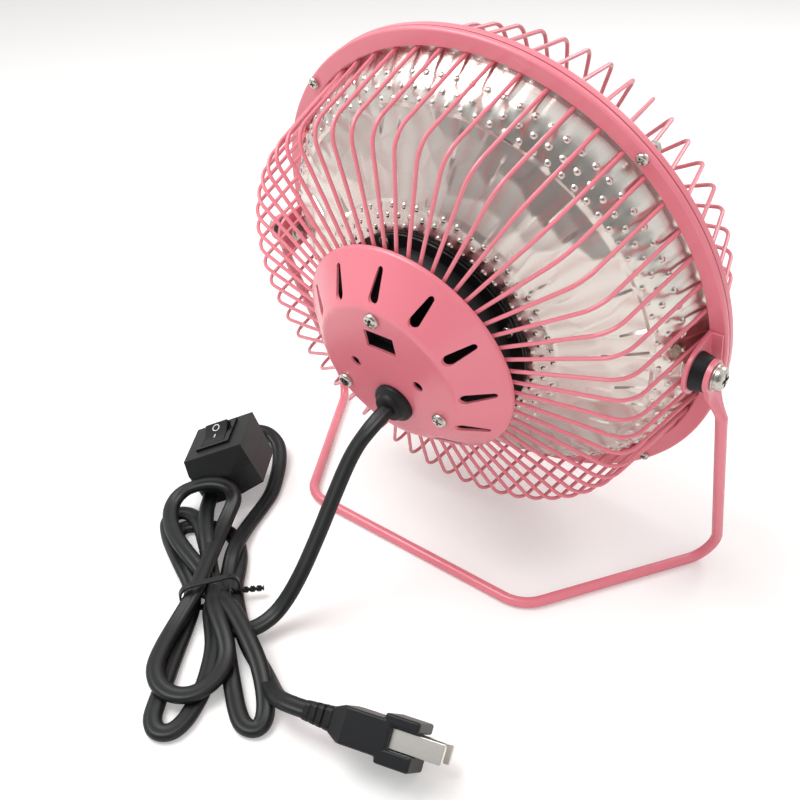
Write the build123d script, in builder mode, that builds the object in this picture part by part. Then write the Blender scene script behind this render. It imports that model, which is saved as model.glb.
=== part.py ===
from build123d import *
import math
import os

os.makedirs("parts", exist_ok=True)

# World frame: +X runs along the tilt pivot, +Y is the way the heater shines, the stand rests on z = 0.
pivot_y = -5.85
pivot_height = 106.4
head_tilt = 14.6
ring_ahead_of_pivot = 11.7

# Clamp rings
ring_radius = 100.0
ring_sheet = 1.0
rear_ring_inner = 93.8
front_ring_inner = 95.0
front_ring_face = -5.6
rear_lip_end = -2.2
front_lip_end = -2.7
ring_screw_circle = 97.65
ring_screw_hole = 1.25
ring_screw_radius = 1.2
ring_screw_end = -8.2
ring_head_radius = 2.2
ring_head_height = 1.6
ring_nut_radius = 2.4
ring_nut_height = 2.2

# Wire guards: a point is (distance from the head's axis, distance behind the ring)
wire_count = 56
wire_radius = 0.75
hoop_radius = 0.8
rear_wire_start = (93.0, -2.2)
rear_wire_corner = (86.2, 39.4)
rear_wire_bend = 10.0
rear_rim_hoop = (94.05, -1.8)
rear_hub_hoop = (43.0, 47.4)
front_wire_start = (94.4, -3.5)
front_wire_corner = (83.2, -40.5)
front_wire_bend = 7.0
front_rim_hoop = (95.6, -3.85)
front_hub_hoop = (26.0, -52.0)
front_mid_hoop = (52.0, -45.4)

# Badge plate
badge_radius = 28.0
badge_crown = -57.2
badge_edge = -53.7
badge_back = -52.87
badge_seat_radius = 24.0
badge_sheet = 0.8

# Hub cover
cover_sheet = 1.0
cover_face = 63.0
cover_flat_radius = 30.0
cover_radius = 46.0
cover_cone_end = 50.0
cover_skirt_end = 48.4
slot_count = 12
slot_inner_place = 33.6
slot_inner_radius = 2.1
slot_outer_place = 41.0
slot_outer_radius = 1.2
round_hole_x = 14.5
round_hole_radius = 2.2
spare_opening = (0.7, 15.35)
spare_width = 13.3
spare_height = 8.1
blank_width = 17.0
blank_height = 11.0
blank_depth = 5.0
blank_pocket = 3.5
post_circle = 25.8
post_radius = 2.7
post_bore = 1.5
cover_screw_hole = 1.6
cover_head_radius = 3.0
cover_head_height = 2.0

# Cord gland
gland_x = 1.0
gland_y = -14.0
gland_hole = 5.5
gland_dome_radius = 8.25
gland_dome = 2.8
gland_neck_radius = 5.6
gland_neck = 5.0
gland_shank_radius = 5.4
gland_shank = 6.0

# Reflector and what it carries
dish_hole = 18.0
dish_seat_radius = 41.5
dish_seat = 33.9
dish_flange_radius = 95.9
dish_flange = -3.1
can_radius = 36.0
can_sheet = 0.8
can_flange_radius = 41.5
can_flange_face = 34.5
can_rear = 48.25
can_plate_radius = 44.3
can_plate_hole = 10.0
can_screw_circle = 38.8
can_screw_hole = 1.3
can_screw_radius = 1.25
can_screw_end = 31.0
can_head_radius = 2.2
can_head_height = 1.5
mica_radius = 26.0
mica_sheet = 1.5
mica_clearance = 0.1
core_radius = 11.0
core_bore = 5.5
core_collar = 16.0
core_tip = -28.0
core_rear = 42.0
coil_wire = 0.8
coil_gap = 0.1
coil_pitch = 5.2
coil_turn_count = 9
coil_start = -20.0

# Between the can and the cover
cutout_place = (-14.0, 6.0)
cutout_radius = 7.0
cutout_height = 5.0
cutout_ears = 23.0
block_place = (0.0, -25.2)
block_length = 26.0
block_width = 9.4
block_height = 9.0
block_wells = [(-8.0, -25.2), (0.0, -25.2), (8.0, -25.2)]
lead_radius = 1.1
lead_bend = 1.3

# Pivots
lug_inside = 93.3
lug_sheet = 1.6
lug_half_width = 8.5
lug_foot = 4.0
lug_foot_sheet = 1.2
spacer_radius = 7.2
spacer_tip_radius = 6.2
spacer_end = 99.6
eye_inside = 99.7
eye_thickness = 1.8
eye_radius = 6.0
pin_radius = 2.0
pin_clearance = 0.06
pin_end = 90.2
pin_head_radius = 4.4
pin_head = 2.8
washer_gap = 0.1
washer_radius = 4.8
washer_sheet = 0.8
pin_nut_radius = 4.0
pin_nut = 2.4

# Stand
rod_radius = 2.15
leg_x = 104.4
leg_top_y = 5.75
leg_top_z = 88.0
bend_x = 102.3
bend_y = 38.9
corner_x = 56.5
corner_y = -38.1
foot_height = 2.05
leg_bend_radius = 10.0
corner_bend_radius = 15.0
neck_length = 8.0
neck_width = 9.0

# Cord, and the tie round its hank
cord_radius = 2.5
hank_height = 12.0
hank_shoulder = 3.0
tie_width = 24.0
tie_height = 13.6
tie_wire = 1.2
tie_tail = 7.0

# In-line switch: width across the cord, height, and where the long side profile turns
switch_yaw = 34.0
switch_roll = -23.1
switch_top = (-95.5, -54.7, 25.9)
switch_width = 29.0
switch_height = 21.6
switch_split = -11.0
shell_wall = 1.8
rocker_centre = (-1.0, 1.5)
rocker_hinge_depth = -1.5
rocker_pin_radius = 0.9
rocker_pin_clearance = 0.05
rocker_tilt = 12.0
rocker_hole = (15.2, 16.2)
bezel_size = (16.6, 17.6)
bezel_housing = (14.8, 15.8)
bezel_window = (11.8, 14.2)
bezel_rim = 1.0
bezel_depth = 9.0
switch_screw_places = [(-10.0, -3.0), (10.0, -3.0)]
switch_screw_recess = 2.4

# Plug
plug_yaw = 16.5
plug_roll = -50.7
plug_tail = (31.2, -132.3, 12.6)
plug_depth = 19.4
relief_length = 10.5
relief_ribs = (2.0, 4.6, 7.2)
blade_width = 6.5
blade_sheet = 1.5
blade_root = 32.7
blade_length = 18.3
blade_spacing = 12.7
blade_offset = 0.7

tilt_sin = math.sin(math.radians(head_tilt))
tilt_cos = math.cos(math.radians(head_tilt))
forward = Vector(0, tilt_cos, tilt_sin)
pivot = Vector(0, pivot_y, pivot_height)
ring_origin = pivot + forward * ring_ahead_of_pivot

# HEAD has x to the right, y up the head and z rearward from the ring; RADIAL has x outward and y rearward.
HEAD = Plane(origin=ring_origin, x_dir=(1, 0, 0), z_dir=-forward)
RADIAL = Plane(origin=ring_origin, x_dir=(1, 0, 0), z_dir=(0, tilt_sin, -tilt_cos))
HEAD_AXIS = Axis(ring_origin, -forward)
# PIVOT_SIDE looks along the pivot: x is rearward and y is down the head.
PIVOT_SIDE = Plane(origin=pivot, x_dir=-forward, z_dir=(1, 0, 0))


def write(name, shape):
    shape.label = name
    export_step(shape, f"parts/{name}.step")


# Rear clamp ring: a flat flange with a short lip, and four holes for the ring screws
with BuildPart() as rear_ring:
    with BuildSketch(RADIAL):
        with BuildLine():
            Polyline(
                (rear_ring_inner, -ring_sheet),
                (rear_ring_inner, 0),
                (ring_radius, 0),
                (ring_radius, rear_lip_end),
                (ring_radius - ring_sheet, rear_lip_end),
                (ring_radius - ring_sheet, -ring_sheet),
                close=True,
            )
        make_face()
    revolve(axis=HEAD_AXIS)
    with BuildSketch(HEAD):
        with PolarLocations(ring_screw_circle, 4, start_angle=45):
            Circle(ring_screw_hole)
    extrude(amount=-ring_sheet, mode=Mode.SUBTRACT)

with BuildPart() as front_ring:
    with BuildSketch(RADIAL):
        with BuildLine():
            Polyline(
                (front_ring_inner, front_ring_face),
                (ring_radius, front_ring_face),
                (ring_radius, front_lip_end),
                (ring_radius - ring_sheet, front_lip_end),
                (ring_radius - ring_sheet, front_ring_face + ring_sheet),
                (front_ring_inner, front_ring_face + ring_sheet),
                close=True,
            )
        make_face()
    revolve(axis=HEAD_AXIS)
    with BuildSketch(HEAD.offset(front_ring_face)):
        with PolarLocations(ring_screw_circle, 4, start_angle=45):
            Circle(ring_screw_hole)
    extrude(amount=ring_sheet, mode=Mode.SUBTRACT)

# One wire of each guard, drawn in the head's own frame and then set round the hoops
with BuildPart() as rear_wire:
    with BuildLine(Plane.XZ) as rear_path:
        FilletPolyline(rear_wire_start, rear_wire_corner, rear_hub_hoop, radius=rear_wire_bend)
    with BuildSketch(Plane(origin=rear_path.line @ 0, z_dir=rear_path.line % 0)):
        Circle(wire_radius)
    sweep()

with BuildPart(HEAD) as rear_guard:
    with BuildSketch(RADIAL):
        with Locations(rear_rim_hoop, rear_hub_hoop):
            Circle(hoop_radius)
    revolve(axis=HEAD_AXIS)
    with PolarLocations(0, wire_count, start_angle=180 / wire_count):
        add(rear_wire.part)

with BuildPart() as front_wire:
    with BuildLine(Plane.XZ) as front_path:
        FilletPolyline(front_wire_start, front_wire_corner, front_hub_hoop, radius=front_wire_bend)
    with BuildSketch(Plane(origin=front_path.line @ 0, z_dir=front_path.line % 0)):
        Circle(wire_radius)
    sweep()

with BuildPart(HEAD) as front_guard:
    with BuildSketch(RADIAL):
        with Locations(front_rim_hoop):
            Circle(wire_radius)
        with Locations(front_mid_hoop, front_hub_hoop):
            Circle(hoop_radius)
    revolve(axis=HEAD_AXIS)
    with PolarLocations(0, wire_count, start_angle=90):
        add(front_wire.part)

# Bare domed plate over the inner ends of the front wires
with BuildPart() as badge_plate:
    with BuildSketch(RADIAL):
        with BuildLine():
            TangentArc((0, badge_crown), (badge_radius, badge_edge), tangent=(1, 0))
            Polyline((badge_radius, badge_edge), (badge_radius, badge_back), (badge_seat_radius, badge_back))
            TangentArc((0, badge_crown + badge_sheet), (badge_seat_radius, badge_back), tangent=(1, 0))
            Line((0, badge_crown + badge_sheet), (0, badge_crown))
        make_face()
    revolve(axis=HEAD_AXIS)

# Ring screws from the back, nuts at the front
with BuildPart() as ring_screws:
    with BuildSketch(HEAD):
        with PolarLocations(ring_screw_circle, 4, start_angle=45):
            Circle(ring_head_radius)
    extrude(amount=ring_head_height)
    fillet(ring_screws.faces().group_by(HEAD_AXIS)[-1].edges(), 0.7)
    with BuildSketch(HEAD.offset(ring_screw_end)):
        with PolarLocations(ring_screw_circle, 4, start_angle=45):
            Circle(ring_screw_radius)
    extrude(amount=-ring_screw_end)

with BuildPart() as ring_nuts:
    with BuildSketch(HEAD.offset(front_ring_face)):
        with PolarLocations(ring_screw_circle, 4, start_angle=45):
            RegularPolygon(ring_nut_radius, 6)
            Circle(ring_screw_radius, mode=Mode.SUBTRACT)
    extrude(amount=-ring_nut_height)

# Reflector: a rolled flange, a deep bowl and a flat seat for the element
with BuildPart() as reflector_dish:
    with BuildSketch(RADIAL):
        with BuildLine():
            Polyline((dish_hole, dish_seat), (dish_seat_radius - 0.1, dish_seat))
            Spline(
                (dish_seat_radius - 0.1, dish_seat),
                (54.7, 28.6),
                (69.6, 21.6),
                (78.6, 15.7),
                (84.0, 11.6),
                (88.2, 6.0),
                (90.6, 0.0),
                (91.2, dish_flange),
            )
            Polyline(
                (91.2, dish_flange),
                (dish_flange_radius, dish_flange),
                (dish_flange_radius, dish_flange + 0.5),
                (91.8, dish_flange + 0.5),
            )
            Spline(
                (91.8, dish_flange + 0.5),
                (91.2, 0.2),
                (88.8, 6.3),
                (84.5, 12.1),
                (79.0, 16.2),
                (69.9, 22.2),
                (55.0, 29.2),
                (dish_seat_radius + 0.1, can_flange_face),
            )
            Polyline(
                (dish_seat_radius + 0.1, can_flange_face),
                (dish_hole, can_flange_face),
                (dish_hole, dish_seat),
            )
        make_face()
    revolve(axis=HEAD_AXIS)
    with BuildSketch(HEAD.offset(dish_seat)):
        with PolarLocations(can_screw_circle, 4, start_angle=20):
            Circle(can_screw_hole)
    extrude(amount=can_flange_face - dish_seat, mode=Mode.SUBTRACT)

# Black can behind the dish, closed at the back by the wide plate that the wires end under
with BuildPart() as element_can:
    with BuildSketch(RADIAL):
        with BuildLine():
            Polyline(
                (can_radius - can_sheet, can_flange_face),
                (can_flange_radius, can_flange_face),
                (can_flange_radius, can_flange_face + can_sheet),
                (can_radius, can_flange_face + can_sheet),
                (can_radius, can_rear),
                (can_plate_radius, can_rear),
                (can_plate_radius, can_rear + ring_sheet),
                (can_plate_hole, can_rear + ring_sheet),
                (can_plate_hole, can_rear),
                (can_radius - can_sheet, can_rear),
                close=True,
            )
        make_face()
    revolve(axis=HEAD_AXIS)
    with BuildSketch(HEAD.offset(can_flange_face)):
        with PolarLocations(can_screw_circle, 4, start_angle=20):
            Circle(can_screw_hole)
    extrude(amount=can_sheet, mode=Mode.SUBTRACT)
    with BuildSketch(HEAD.offset(can_rear)):
        with PolarLocations(post_circle, 3, start_angle=90):
            Circle(post_bore)
    extrude(amount=ring_sheet, mode=Mode.SUBTRACT)

with BuildPart() as can_screws:
    with BuildSketch(HEAD.offset(can_flange_face + can_sheet)):
        with PolarLocations(can_screw_circle, 4, start_angle=20):
            Circle(can_head_radius)
    extrude(amount=can_head_height)
    with BuildSketch(HEAD.offset(can_screw_end)):
        with PolarLocations(can_screw_circle, 4, start_angle=20):
            Circle(can_screw_radius)
    extrude(amount=can_flange_face + can_sheet - can_screw_end)

# Three posts between the can and the hub cover
with BuildPart() as cover_posts:
    with BuildSketch(HEAD.offset(can_rear + ring_sheet)):
        with PolarLocations(post_circle, 3, start_angle=90):
            Circle(post_radius)
            Circle(post_bore, mode=Mode.SUBTRACT)
    extrude(amount=cover_face - cover_sheet - can_rear - ring_sheet)

# Heating element: ceramic core on a mica washer, with the coil round it
with BuildPart() as mica_washer:
    with BuildSketch(HEAD.offset(can_flange_face)):
        Circle(mica_radius)
        Circle(core_radius + mica_clearance, mode=Mode.SUBTRACT)
    extrude(amount=mica_sheet)

mica_back = can_flange_face + mica_sheet
with BuildPart() as ceramic_core:
    with BuildSketch(RADIAL):
        with BuildLine():
            Polyline(
                (core_bore, core_tip + 2),
                (core_radius - 2, core_tip),
                (core_radius, core_tip + 2),
                (core_radius, mica_back),
                (core_collar, mica_back),
                (core_collar, mica_back + 3.5),
                (core_radius, mica_back + 3.5),
                (core_radius, core_rear),
                (core_bore, core_rear),
                close=True,
            )
        make_face()
    revolve(axis=HEAD_AXIS)

coil_height = coil_pitch * coil_turn_count
with BuildPart() as coil_turns:
    with BuildLine() as coil_path:
        Helix(pitch=coil_pitch, height=coil_height, radius=core_radius + coil_gap + coil_wire)
    with BuildSketch(Plane(origin=coil_path.line @ 0, z_dir=coil_path.line % 0)):
        Circle(coil_wire)
    sweep(is_frenet=True)

with BuildPart(HEAD) as heating_coil:
    with Locations((0, 0, coil_start)):
        add(coil_turns.part)

# What sits between the can and the cover: cut-out, terminal block, leads and the blank of the unused opening
plate_back = can_rear + ring_sheet
with BuildPart() as thermal_cutout:
    with BuildSketch(HEAD.offset(plate_back)):
        with Locations(cutout_place):
            Circle(cutout_radius)
    extrude(amount=cutout_height)
    with BuildSketch(HEAD.offset(plate_back)):
        with Locations(cutout_place):
            SlotOverall(cutout_ears, 5, rotation=120)
    extrude(amount=1)

with BuildPart() as terminal_block:
    with BuildSketch(HEAD.offset(plate_back)):
        with Locations(block_place):
            Rectangle(block_length, block_width)
    extrude(amount=block_height)
    with BuildSketch(HEAD.offset(plate_back + block_height)):
        with Locations(*block_wells):
            Circle(2)
    extrude(amount=-3, mode=Mode.SUBTRACT)

# Each lead runs from the core or the cut-out to the cut-out or a well of the block, in the head's own frame
cutout_top = plate_back + cutout_height
well_floor = plate_back + block_height - 3
lead_routes = [
    [(-4, 0, core_rear), (-4, 0, 57), (-13, 5, 57), (-13, 5, cutout_top)],
    [(4, 0, core_rear), (4, 0, 60), (13, -8, 60), (11.5, -25, 60), (8, -25.2, 60), (8, -25.2, well_floor)],
    [(-15, 8, cutout_top), (-15, 8, 60), (-14, -24, 60), (-8, -25.2, 60), (-8, -25.2, well_floor)],
]
with BuildPart(HEAD) as internal_leads:
    for route in lead_routes:
        with BuildLine(HEAD) as lead_path:
            FilletPolyline(*route, radius=lead_bend)
        with BuildSketch(Plane(origin=lead_path.line @ 0, z_dir=lead_path.line % 0)):
            Circle(lead_radius)
        sweep(path=lead_path.line)

with BuildPart() as cutout_blank:
    with BuildSketch(HEAD.offset(cover_face - cover_sheet)):
        with Locations(spare_opening):
            Rectangle(blank_width, blank_height)
    extrude(amount=-blank_depth)
    with BuildSketch(HEAD.offset(cover_face - cover_sheet)):
        with Locations(spare_opening):
            Rectangle(spare_width, spare_height)
    extrude(amount=-blank_pocket, mode=Mode.SUBTRACT)

# Hub cover: pressed shell with teardrop slots on its cone, the unused switch opening and the gland hole
with BuildPart() as hub_cover:
    with BuildSketch(RADIAL):
        with BuildLine():
            cover_outside = FilletPolyline(
                (0, cover_face),
                (cover_flat_radius, cover_face),
                (cover_radius, cover_cone_end),
                (cover_radius, cover_skirt_end),
                radius=[4.0, 1.5],
            )
            cover_inside = FilletPolyline(
                (cover_radius - cover_sheet, cover_skirt_end),
                (cover_radius - cover_sheet, cover_cone_end - 0.47),
                (cover_flat_radius - 0.35, cover_face - cover_sheet),
                (0, cover_face - cover_sheet),
                radius=[0.7, 3.0],
            )
            Line(cover_outside @ 1, cover_inside @ 0)
            Line(cover_inside @ 1, cover_outside @ 0)
        make_face()
    revolve(axis=HEAD_AXIS)
    with BuildSketch(HEAD.offset(cover_face)):
        for slot in range(slot_count):
            with Locations(Rotation(0, 0, slot * 360 / slot_count)):
                with Locations((slot_inner_place, 0)):
                    Circle(slot_inner_radius)
                with Locations((slot_outer_place, 0)):
                    Circle(slot_outer_radius)
                Polygon(
                    (slot_inner_place, slot_inner_radius),
                    (slot_inner_place, -slot_inner_radius),
                    (slot_outer_place, -slot_outer_radius),
                    (slot_outer_place, slot_outer_radius),
                    align=None,
                )
    extrude(amount=cover_skirt_end - cover_face - 1, mode=Mode.SUBTRACT)
    with BuildSketch(HEAD.offset(cover_face)):
        with PolarLocations(post_circle, 3, start_angle=90):
            Circle(cover_screw_hole)
        with Locations((round_hole_x, 0), (-round_hole_x, 0)):
            Circle(round_hole_radius)
        with Locations(spare_opening):
            Rectangle(spare_width, spare_height)
        with Locations((gland_x, gland_y)):
            Circle(gland_hole)
    extrude(amount=-2 * cover_sheet, mode=Mode.SUBTRACT)

with BuildPart() as hub_cover_screws:
    with BuildSketch(HEAD.offset(cover_face)):
        with PolarLocations(post_circle, 3, start_angle=90):
            Circle(cover_head_radius)
    extrude(amount=cover_head_height)
    fillet(hub_cover_screws.faces().group_by(HEAD_AXIS)[-1].edges(), 0.9)
    with BuildSketch(HEAD.offset(can_rear + 2)):
        with PolarLocations(post_circle, 3, start_angle=90):
            Circle(post_bore)
    extrude(amount=cover_face - can_rear - 2)

# Cord gland: a dome outside, a neck for the cord, and the shank through the cover
with BuildPart() as cord_gland:
    with BuildSketch(HEAD.offset(cover_face)):
        with Locations((gland_x, gland_y)):
            Circle(gland_dome_radius)
    extrude(amount=gland_dome)
    fillet(cord_gland.faces().group_by(HEAD_AXIS)[-1].edges(), 1.2)
    with BuildSketch(HEAD.offset(cover_face)):
        with Locations((gland_x, gland_y)):
            Circle(gland_neck_radius)
    extrude(amount=gland_neck)
    with BuildSketch(HEAD.offset(cover_face)):
        with Locations((gland_x, gland_y)):
            Circle(gland_shank_radius)
    extrude(amount=-gland_shank)

# Trunnions: lug bent off a foot on the rear ring, spacer, pin screw, washer and inner nut on each side
with BuildPart() as trunnion_lug_right:
    with BuildSketch(PIVOT_SIDE.offset(lug_inside)):
        Circle(lug_half_width)
        with Locations((-ring_ahead_of_pivot / 2, 0)):
            Rectangle(ring_ahead_of_pivot, 2 * lug_half_width)
        Circle(pin_radius, mode=Mode.SUBTRACT)
    extrude(amount=lug_sheet)
    with BuildSketch(PIVOT_SIDE.offset(lug_inside + lug_sheet)):
        with Locations((-ring_ahead_of_pivot + lug_foot_sheet / 2, 0)):
            Rectangle(lug_foot_sheet, 2 * lug_half_width)
    extrude(amount=lug_foot)

with BuildPart() as pivot_spacers:
    with BuildSketch(PIVOT_SIDE.offset(lug_inside + lug_sheet)):
        Circle(spacer_radius)
    with BuildSketch(PIVOT_SIDE.offset(spacer_end)):
        Circle(spacer_tip_radius)
    loft()
    with BuildSketch(PIVOT_SIDE.offset(lug_inside + lug_sheet)):
        Circle(pin_radius)
    extrude(amount=spacer_end - lug_inside - lug_sheet, mode=Mode.SUBTRACT)
    mirror(about=Plane.YZ)

eye_outside = eye_inside + eye_thickness
with BuildPart() as pivot_washers:
    with BuildSketch(PIVOT_SIDE.offset(eye_outside + washer_gap)):
        Circle(washer_radius)
        Circle(pin_radius, mode=Mode.SUBTRACT)
    extrude(amount=washer_sheet)
    mirror(about=Plane.YZ)

head_start = eye_outside + washer_gap + washer_sheet
with BuildPart() as pivot_screws:
    with BuildSketch(PIVOT_SIDE.offset(head_start)):
        Circle(pin_head_radius)
    extrude(amount=pin_head)
    fillet(pivot_screws.faces().group_by(Axis.X)[-1].edges(), 1.4)
    with BuildSketch(PIVOT_SIDE.offset(pin_end)):
        Circle(pin_radius)
    extrude(amount=head_start - pin_end)
    mirror(about=Plane.YZ)

with BuildPart() as pivot_nuts:
    with BuildSketch(PIVOT_SIDE.offset(lug_inside)):
        RegularPolygon(pin_nut_radius, 6)
        Circle(pin_radius, mode=Mode.SUBTRACT)
    extrude(amount=-pin_nut)
    mirror(about=Plane.YZ)

# Stand: one bent rod with a joggled, flattened eye at each end, resting on a narrow flat under its feet
leg_top = Vector(leg_x, pivot_y + leg_top_y, leg_top_z)
leg_bend = Vector(bend_x, pivot_y + bend_y, foot_height)
bar_corner = Vector(corner_x, pivot_y + corner_y, foot_height)
leg_direction = (leg_bend - leg_top).normalized()
neck_direction = Vector(0, leg_direction.Y, leg_direction.Z).normalized()
neck_end = pivot + Vector(eye_inside + eye_thickness / 2, 0, 0) + neck_direction * neck_length
# NECK_SIDE looks along the pivot, with x down the leg
NECK_SIDE = Plane(origin=pivot + Vector(eye_inside, 0, 0), x_dir=neck_direction, z_dir=(1, 0, 0))

with BuildPart() as stand_frame:
    with BuildLine():
        FilletPolyline(
            leg_top,
            leg_bend,
            bar_corner,
            Vector(-bar_corner.X, bar_corner.Y, bar_corner.Z),
            Vector(-leg_bend.X, leg_bend.Y, leg_bend.Z),
            Vector(-leg_top.X, leg_top.Y, leg_top.Z),
            radius=[leg_bend_radius, corner_bend_radius, corner_bend_radius, leg_bend_radius],
        )
    with BuildSketch(Plane(origin=leg_top, z_dir=leg_direction)):
        Circle(rod_radius)
    sweep()
    with BuildSketch(Plane(origin=neck_end, x_dir=(1, 0, 0), z_dir=neck_direction)):
        RectangleRounded(eye_thickness, neck_width, 0.8)
    with BuildSketch(Plane(origin=leg_top, x_dir=(1, 0, 0), z_dir=leg_direction)):
        Circle(rod_radius)
    loft()
    with BuildSketch(NECK_SIDE):
        Circle(eye_radius)
        with Locations((neck_length / 2, 0)):
            Rectangle(neck_length, neck_width)
    extrude(amount=eye_thickness)
    with BuildSketch(PIVOT_SIDE.offset(eye_inside)):
        Circle(pin_radius + pin_clearance)
    extrude(amount=eye_thickness, mode=Mode.SUBTRACT)
    mirror(about=Plane.YZ)
    with Locations((0, pivot_y, 0)):
        Box(260, 160, 10, align=(Align.CENTER, Align.CENTER, Align.MAX), mode=Mode.SUBTRACT)


def cord_radii(points):
    """Largest arc that each corner's two runs allow."""
    radii = []
    for before, here, after in zip(points, points[1:], points[2:]):
        arriving = here - before
        leaving = after - here
        half_turn = math.radians(arriving.get_angle(leaving)) / 2
        radii.append(0.45 * min(arriving.length, leaving.length) / math.tan(half_turn))
    return radii


def from_foot(points):
    """Points measured from the spot on the table below the pivot."""
    return [Vector(x, y + pivot_y, z) for x, y, z in points]


def report_cord(name, route, path, tube):
    length = sum(edge.length for edge in path.edges())
    swept = math.pi * cord_radius**2 * length
    print(name, "radii", [round(radius, 1) for radius in cord_radii(route)])
    print(name, "length", round(length, 1), "volume share", round(tube.part.volume / swept, 4))


# Supply cord down from the gland to the hank: the first run leaves the gland square to its face
gland_end = HEAD.from_local_coords(Vector(gland_x, gland_y, cover_face + gland_neck))
hanging_route = [gland_end, gland_end - forward * 8.0] + from_foot(
    [
        (-2.6, -66.3, 67.5),
        (-4.9, -74.5, 52.5),
        (-7.0, -83.0, 36.0),
        (-9.6, -93.0, 18.5),
        (-12.0, -101.5, 6.5),
        (-15.0, -109.5, 2.7),
        (-20.0, -115.5, 2.6),
    ]
)
# Cord from the hank round to the far end of the switch
far_route = from_foot(
    [
        (-45.0, -97.5, 2.6),
        (-53.5, -86.0, 2.6),
        (-60.0, -73.0, 2.6),
        (-65.0, -60.5, 2.6),
        (-70.0, -50.0, 2.7),
        (-76.0, -40.5, 3.0),
        (-82.0, -32.0, 4.0),
        (-90.0, -24.0, 6.5),
        (-99.5, -22.5, 9.5),
        (-104.0, -29.5, 12.0),
        (-100.4, -37.6, 13.0),
        (-96.3, -43.7, 13.0),
    ]
)
# Cord from the near end of the switch to the hank
near_route = from_foot([(-87.1, -69.6, 6.3), (-83.0, -75.7, 5.6), (-78.5, -81.0, 3.6), (-72.0, -86.5, 2.6)])
# Cord from the hank up to the plug's strain relief
plug_axis = Vector(math.cos(math.radians(plug_yaw)), math.sin(math.radians(plug_yaw)), 0)
plug_start = from_foot([plug_tail])[0]
plug_route = from_foot([(-1.0, -123.0, 2.6), (6.0, -126.5, 3.4), (12.5, -130.3, 6.8), (18.5, -133.6, 10.4)])
plug_route += [plug_start - plug_axis * 7.0, plug_start]

with BuildPart() as cord_hanging:
    with BuildLine() as hanging_path:
        FilletPolyline(*hanging_route, radius=cord_radii(hanging_route))
    with BuildSketch(Plane(origin=hanging_path.line @ 0, z_dir=hanging_path.line % 0)):
        Circle(cord_radius)
    sweep()
report_cord("cord_hanging", hanging_route, hanging_path, cord_hanging)

with BuildPart() as cord_to_switch:
    with BuildLine() as far_path:
        FilletPolyline(*far_route, radius=cord_radii(far_route))
    with BuildSketch(Plane(origin=far_path.line @ 0, z_dir=far_path.line % 0)):
        Circle(cord_radius)
    sweep()
report_cord("cord_to_switch", far_route, far_path, cord_to_switch)

with BuildPart() as cord_from_switch:
    with BuildLine() as near_path:
        FilletPolyline(*near_route, radius=cord_radii(near_route))
    with BuildSketch(Plane(origin=near_path.line @ 0, z_dir=near_path.line % 0)):
        Circle(cord_radius)
    sweep()
report_cord("cord_from_switch", near_route, near_path, cord_from_switch)

with BuildPart() as cord_to_plug:
    with BuildLine() as plug_path:
        FilletPolyline(*plug_route, radius=cord_radii(plug_route))
    with BuildSketch(Plane(origin=plug_path.line @ 0, z_dir=plug_path.line % 0)):
        Circle(cord_radius)
    sweep()
report_cord("cord_to_plug", plug_route, plug_path, cord_to_plug)

# Hank of folded cord in its outer shape, with the twist tie round its waist
with BuildPart() as cord_hank:
    with BuildSketch(Plane(origin=(0, pivot_y, 0))):
        with BuildLine():
            Spline(
                (-47.5, -116.0),
                (-60.0, -112.0),
                (-76.0, -105.5),
                (-90.0, -97.0),
                (-98.0, -88.0),
                (-97.0, -81.0),
                (-88.0, -79.0),
                (-76.0, -77.5),
                (-66.0, -80.5),
                (-58.0, -88.5),
                (-48.0, -96.5),
                (-36.0, -101.0),
                (-24.0, -108.5),
                (-9.0, -118.0),
                (6.0, -126.5),
                (17.0, -136.0),
                (17.0, -145.5),
                (7.0, -147.0),
                (-2.0, -148.0),
                (-3.5, -158.0),
                (-9.0, -167.0),
                (-18.0, -163.0),
                (-29.0, -153.5),
                (-41.5, -141.0),
                (-46.5, -126.0),
                periodic=True,
            )
        make_face()
    extrude(amount=hank_height)
    chamfer(cord_hank.faces().sort_by(Axis.Z)[-1].edges(), hank_shoulder)

# The tie lies across the hank's length, so its plane has x across the hank and y up
waist = Vector(-41.0, pivot_y - 111.5, 0)
TIE = Plane(origin=waist, x_dir=(0.53, 0.85, 0), z_dir=(0.85, -0.53, 0))
with BuildPart() as twist_tie:
    with BuildSketch(TIE):
        Rectangle(tie_width, tie_height, align=(Align.CENTER, Align.MIN))
        Rectangle(
            tie_width - 2 * tie_wire,
            tie_height - tie_wire,
            align=(Align.CENTER, Align.MIN),
            mode=Mode.SUBTRACT,
        )
    extrude(amount=1.6, both=True)
    with BuildSketch(TIE.offset(1.6)):
        with Locations(((tie_width + tie_tail) / 2 - 0.1, 5)):
            Rectangle(tie_tail, 1.4)
    extrude(amount=-3.2)

# In-line switch: SWITCH has x across the cord, y along it away from the nose, and z out of the rocker face
roll = math.radians(switch_roll)
yaw = math.radians(switch_yaw)
SWITCH = Plane(
    origin=from_foot([switch_top])[0],
    x_dir=(math.cos(roll) * math.cos(yaw), math.cos(roll) * math.sin(yaw), -math.sin(roll)),
    z_dir=(math.sin(roll) * math.cos(yaw), math.sin(roll) * math.sin(yaw), math.cos(roll)),
)
SWITCH_SIDE = Plane(origin=SWITCH.origin, x_dir=SWITCH.y_dir, z_dir=SWITCH.x_dir)

with BuildPart() as switch_block:
    with BuildSketch(SWITCH_SIDE):
        Polygon((12.4, 0), (9.6, -21.6), (-18.5, -21.6), (-17.2, -9.0), (-12.4, 0), align=None)
    extrude(amount=switch_width / 2, both=True)
    with BuildSketch(SWITCH):
        Polygon((14.5, 12.4), (-14.5, 12.4), (-14.5, -15.5), (-10.0, -18.5), (2.0, -18.5), (14.5, -13.0), align=None)
    extrude(amount=-switch_height, mode=Mode.INTERSECT)

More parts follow.
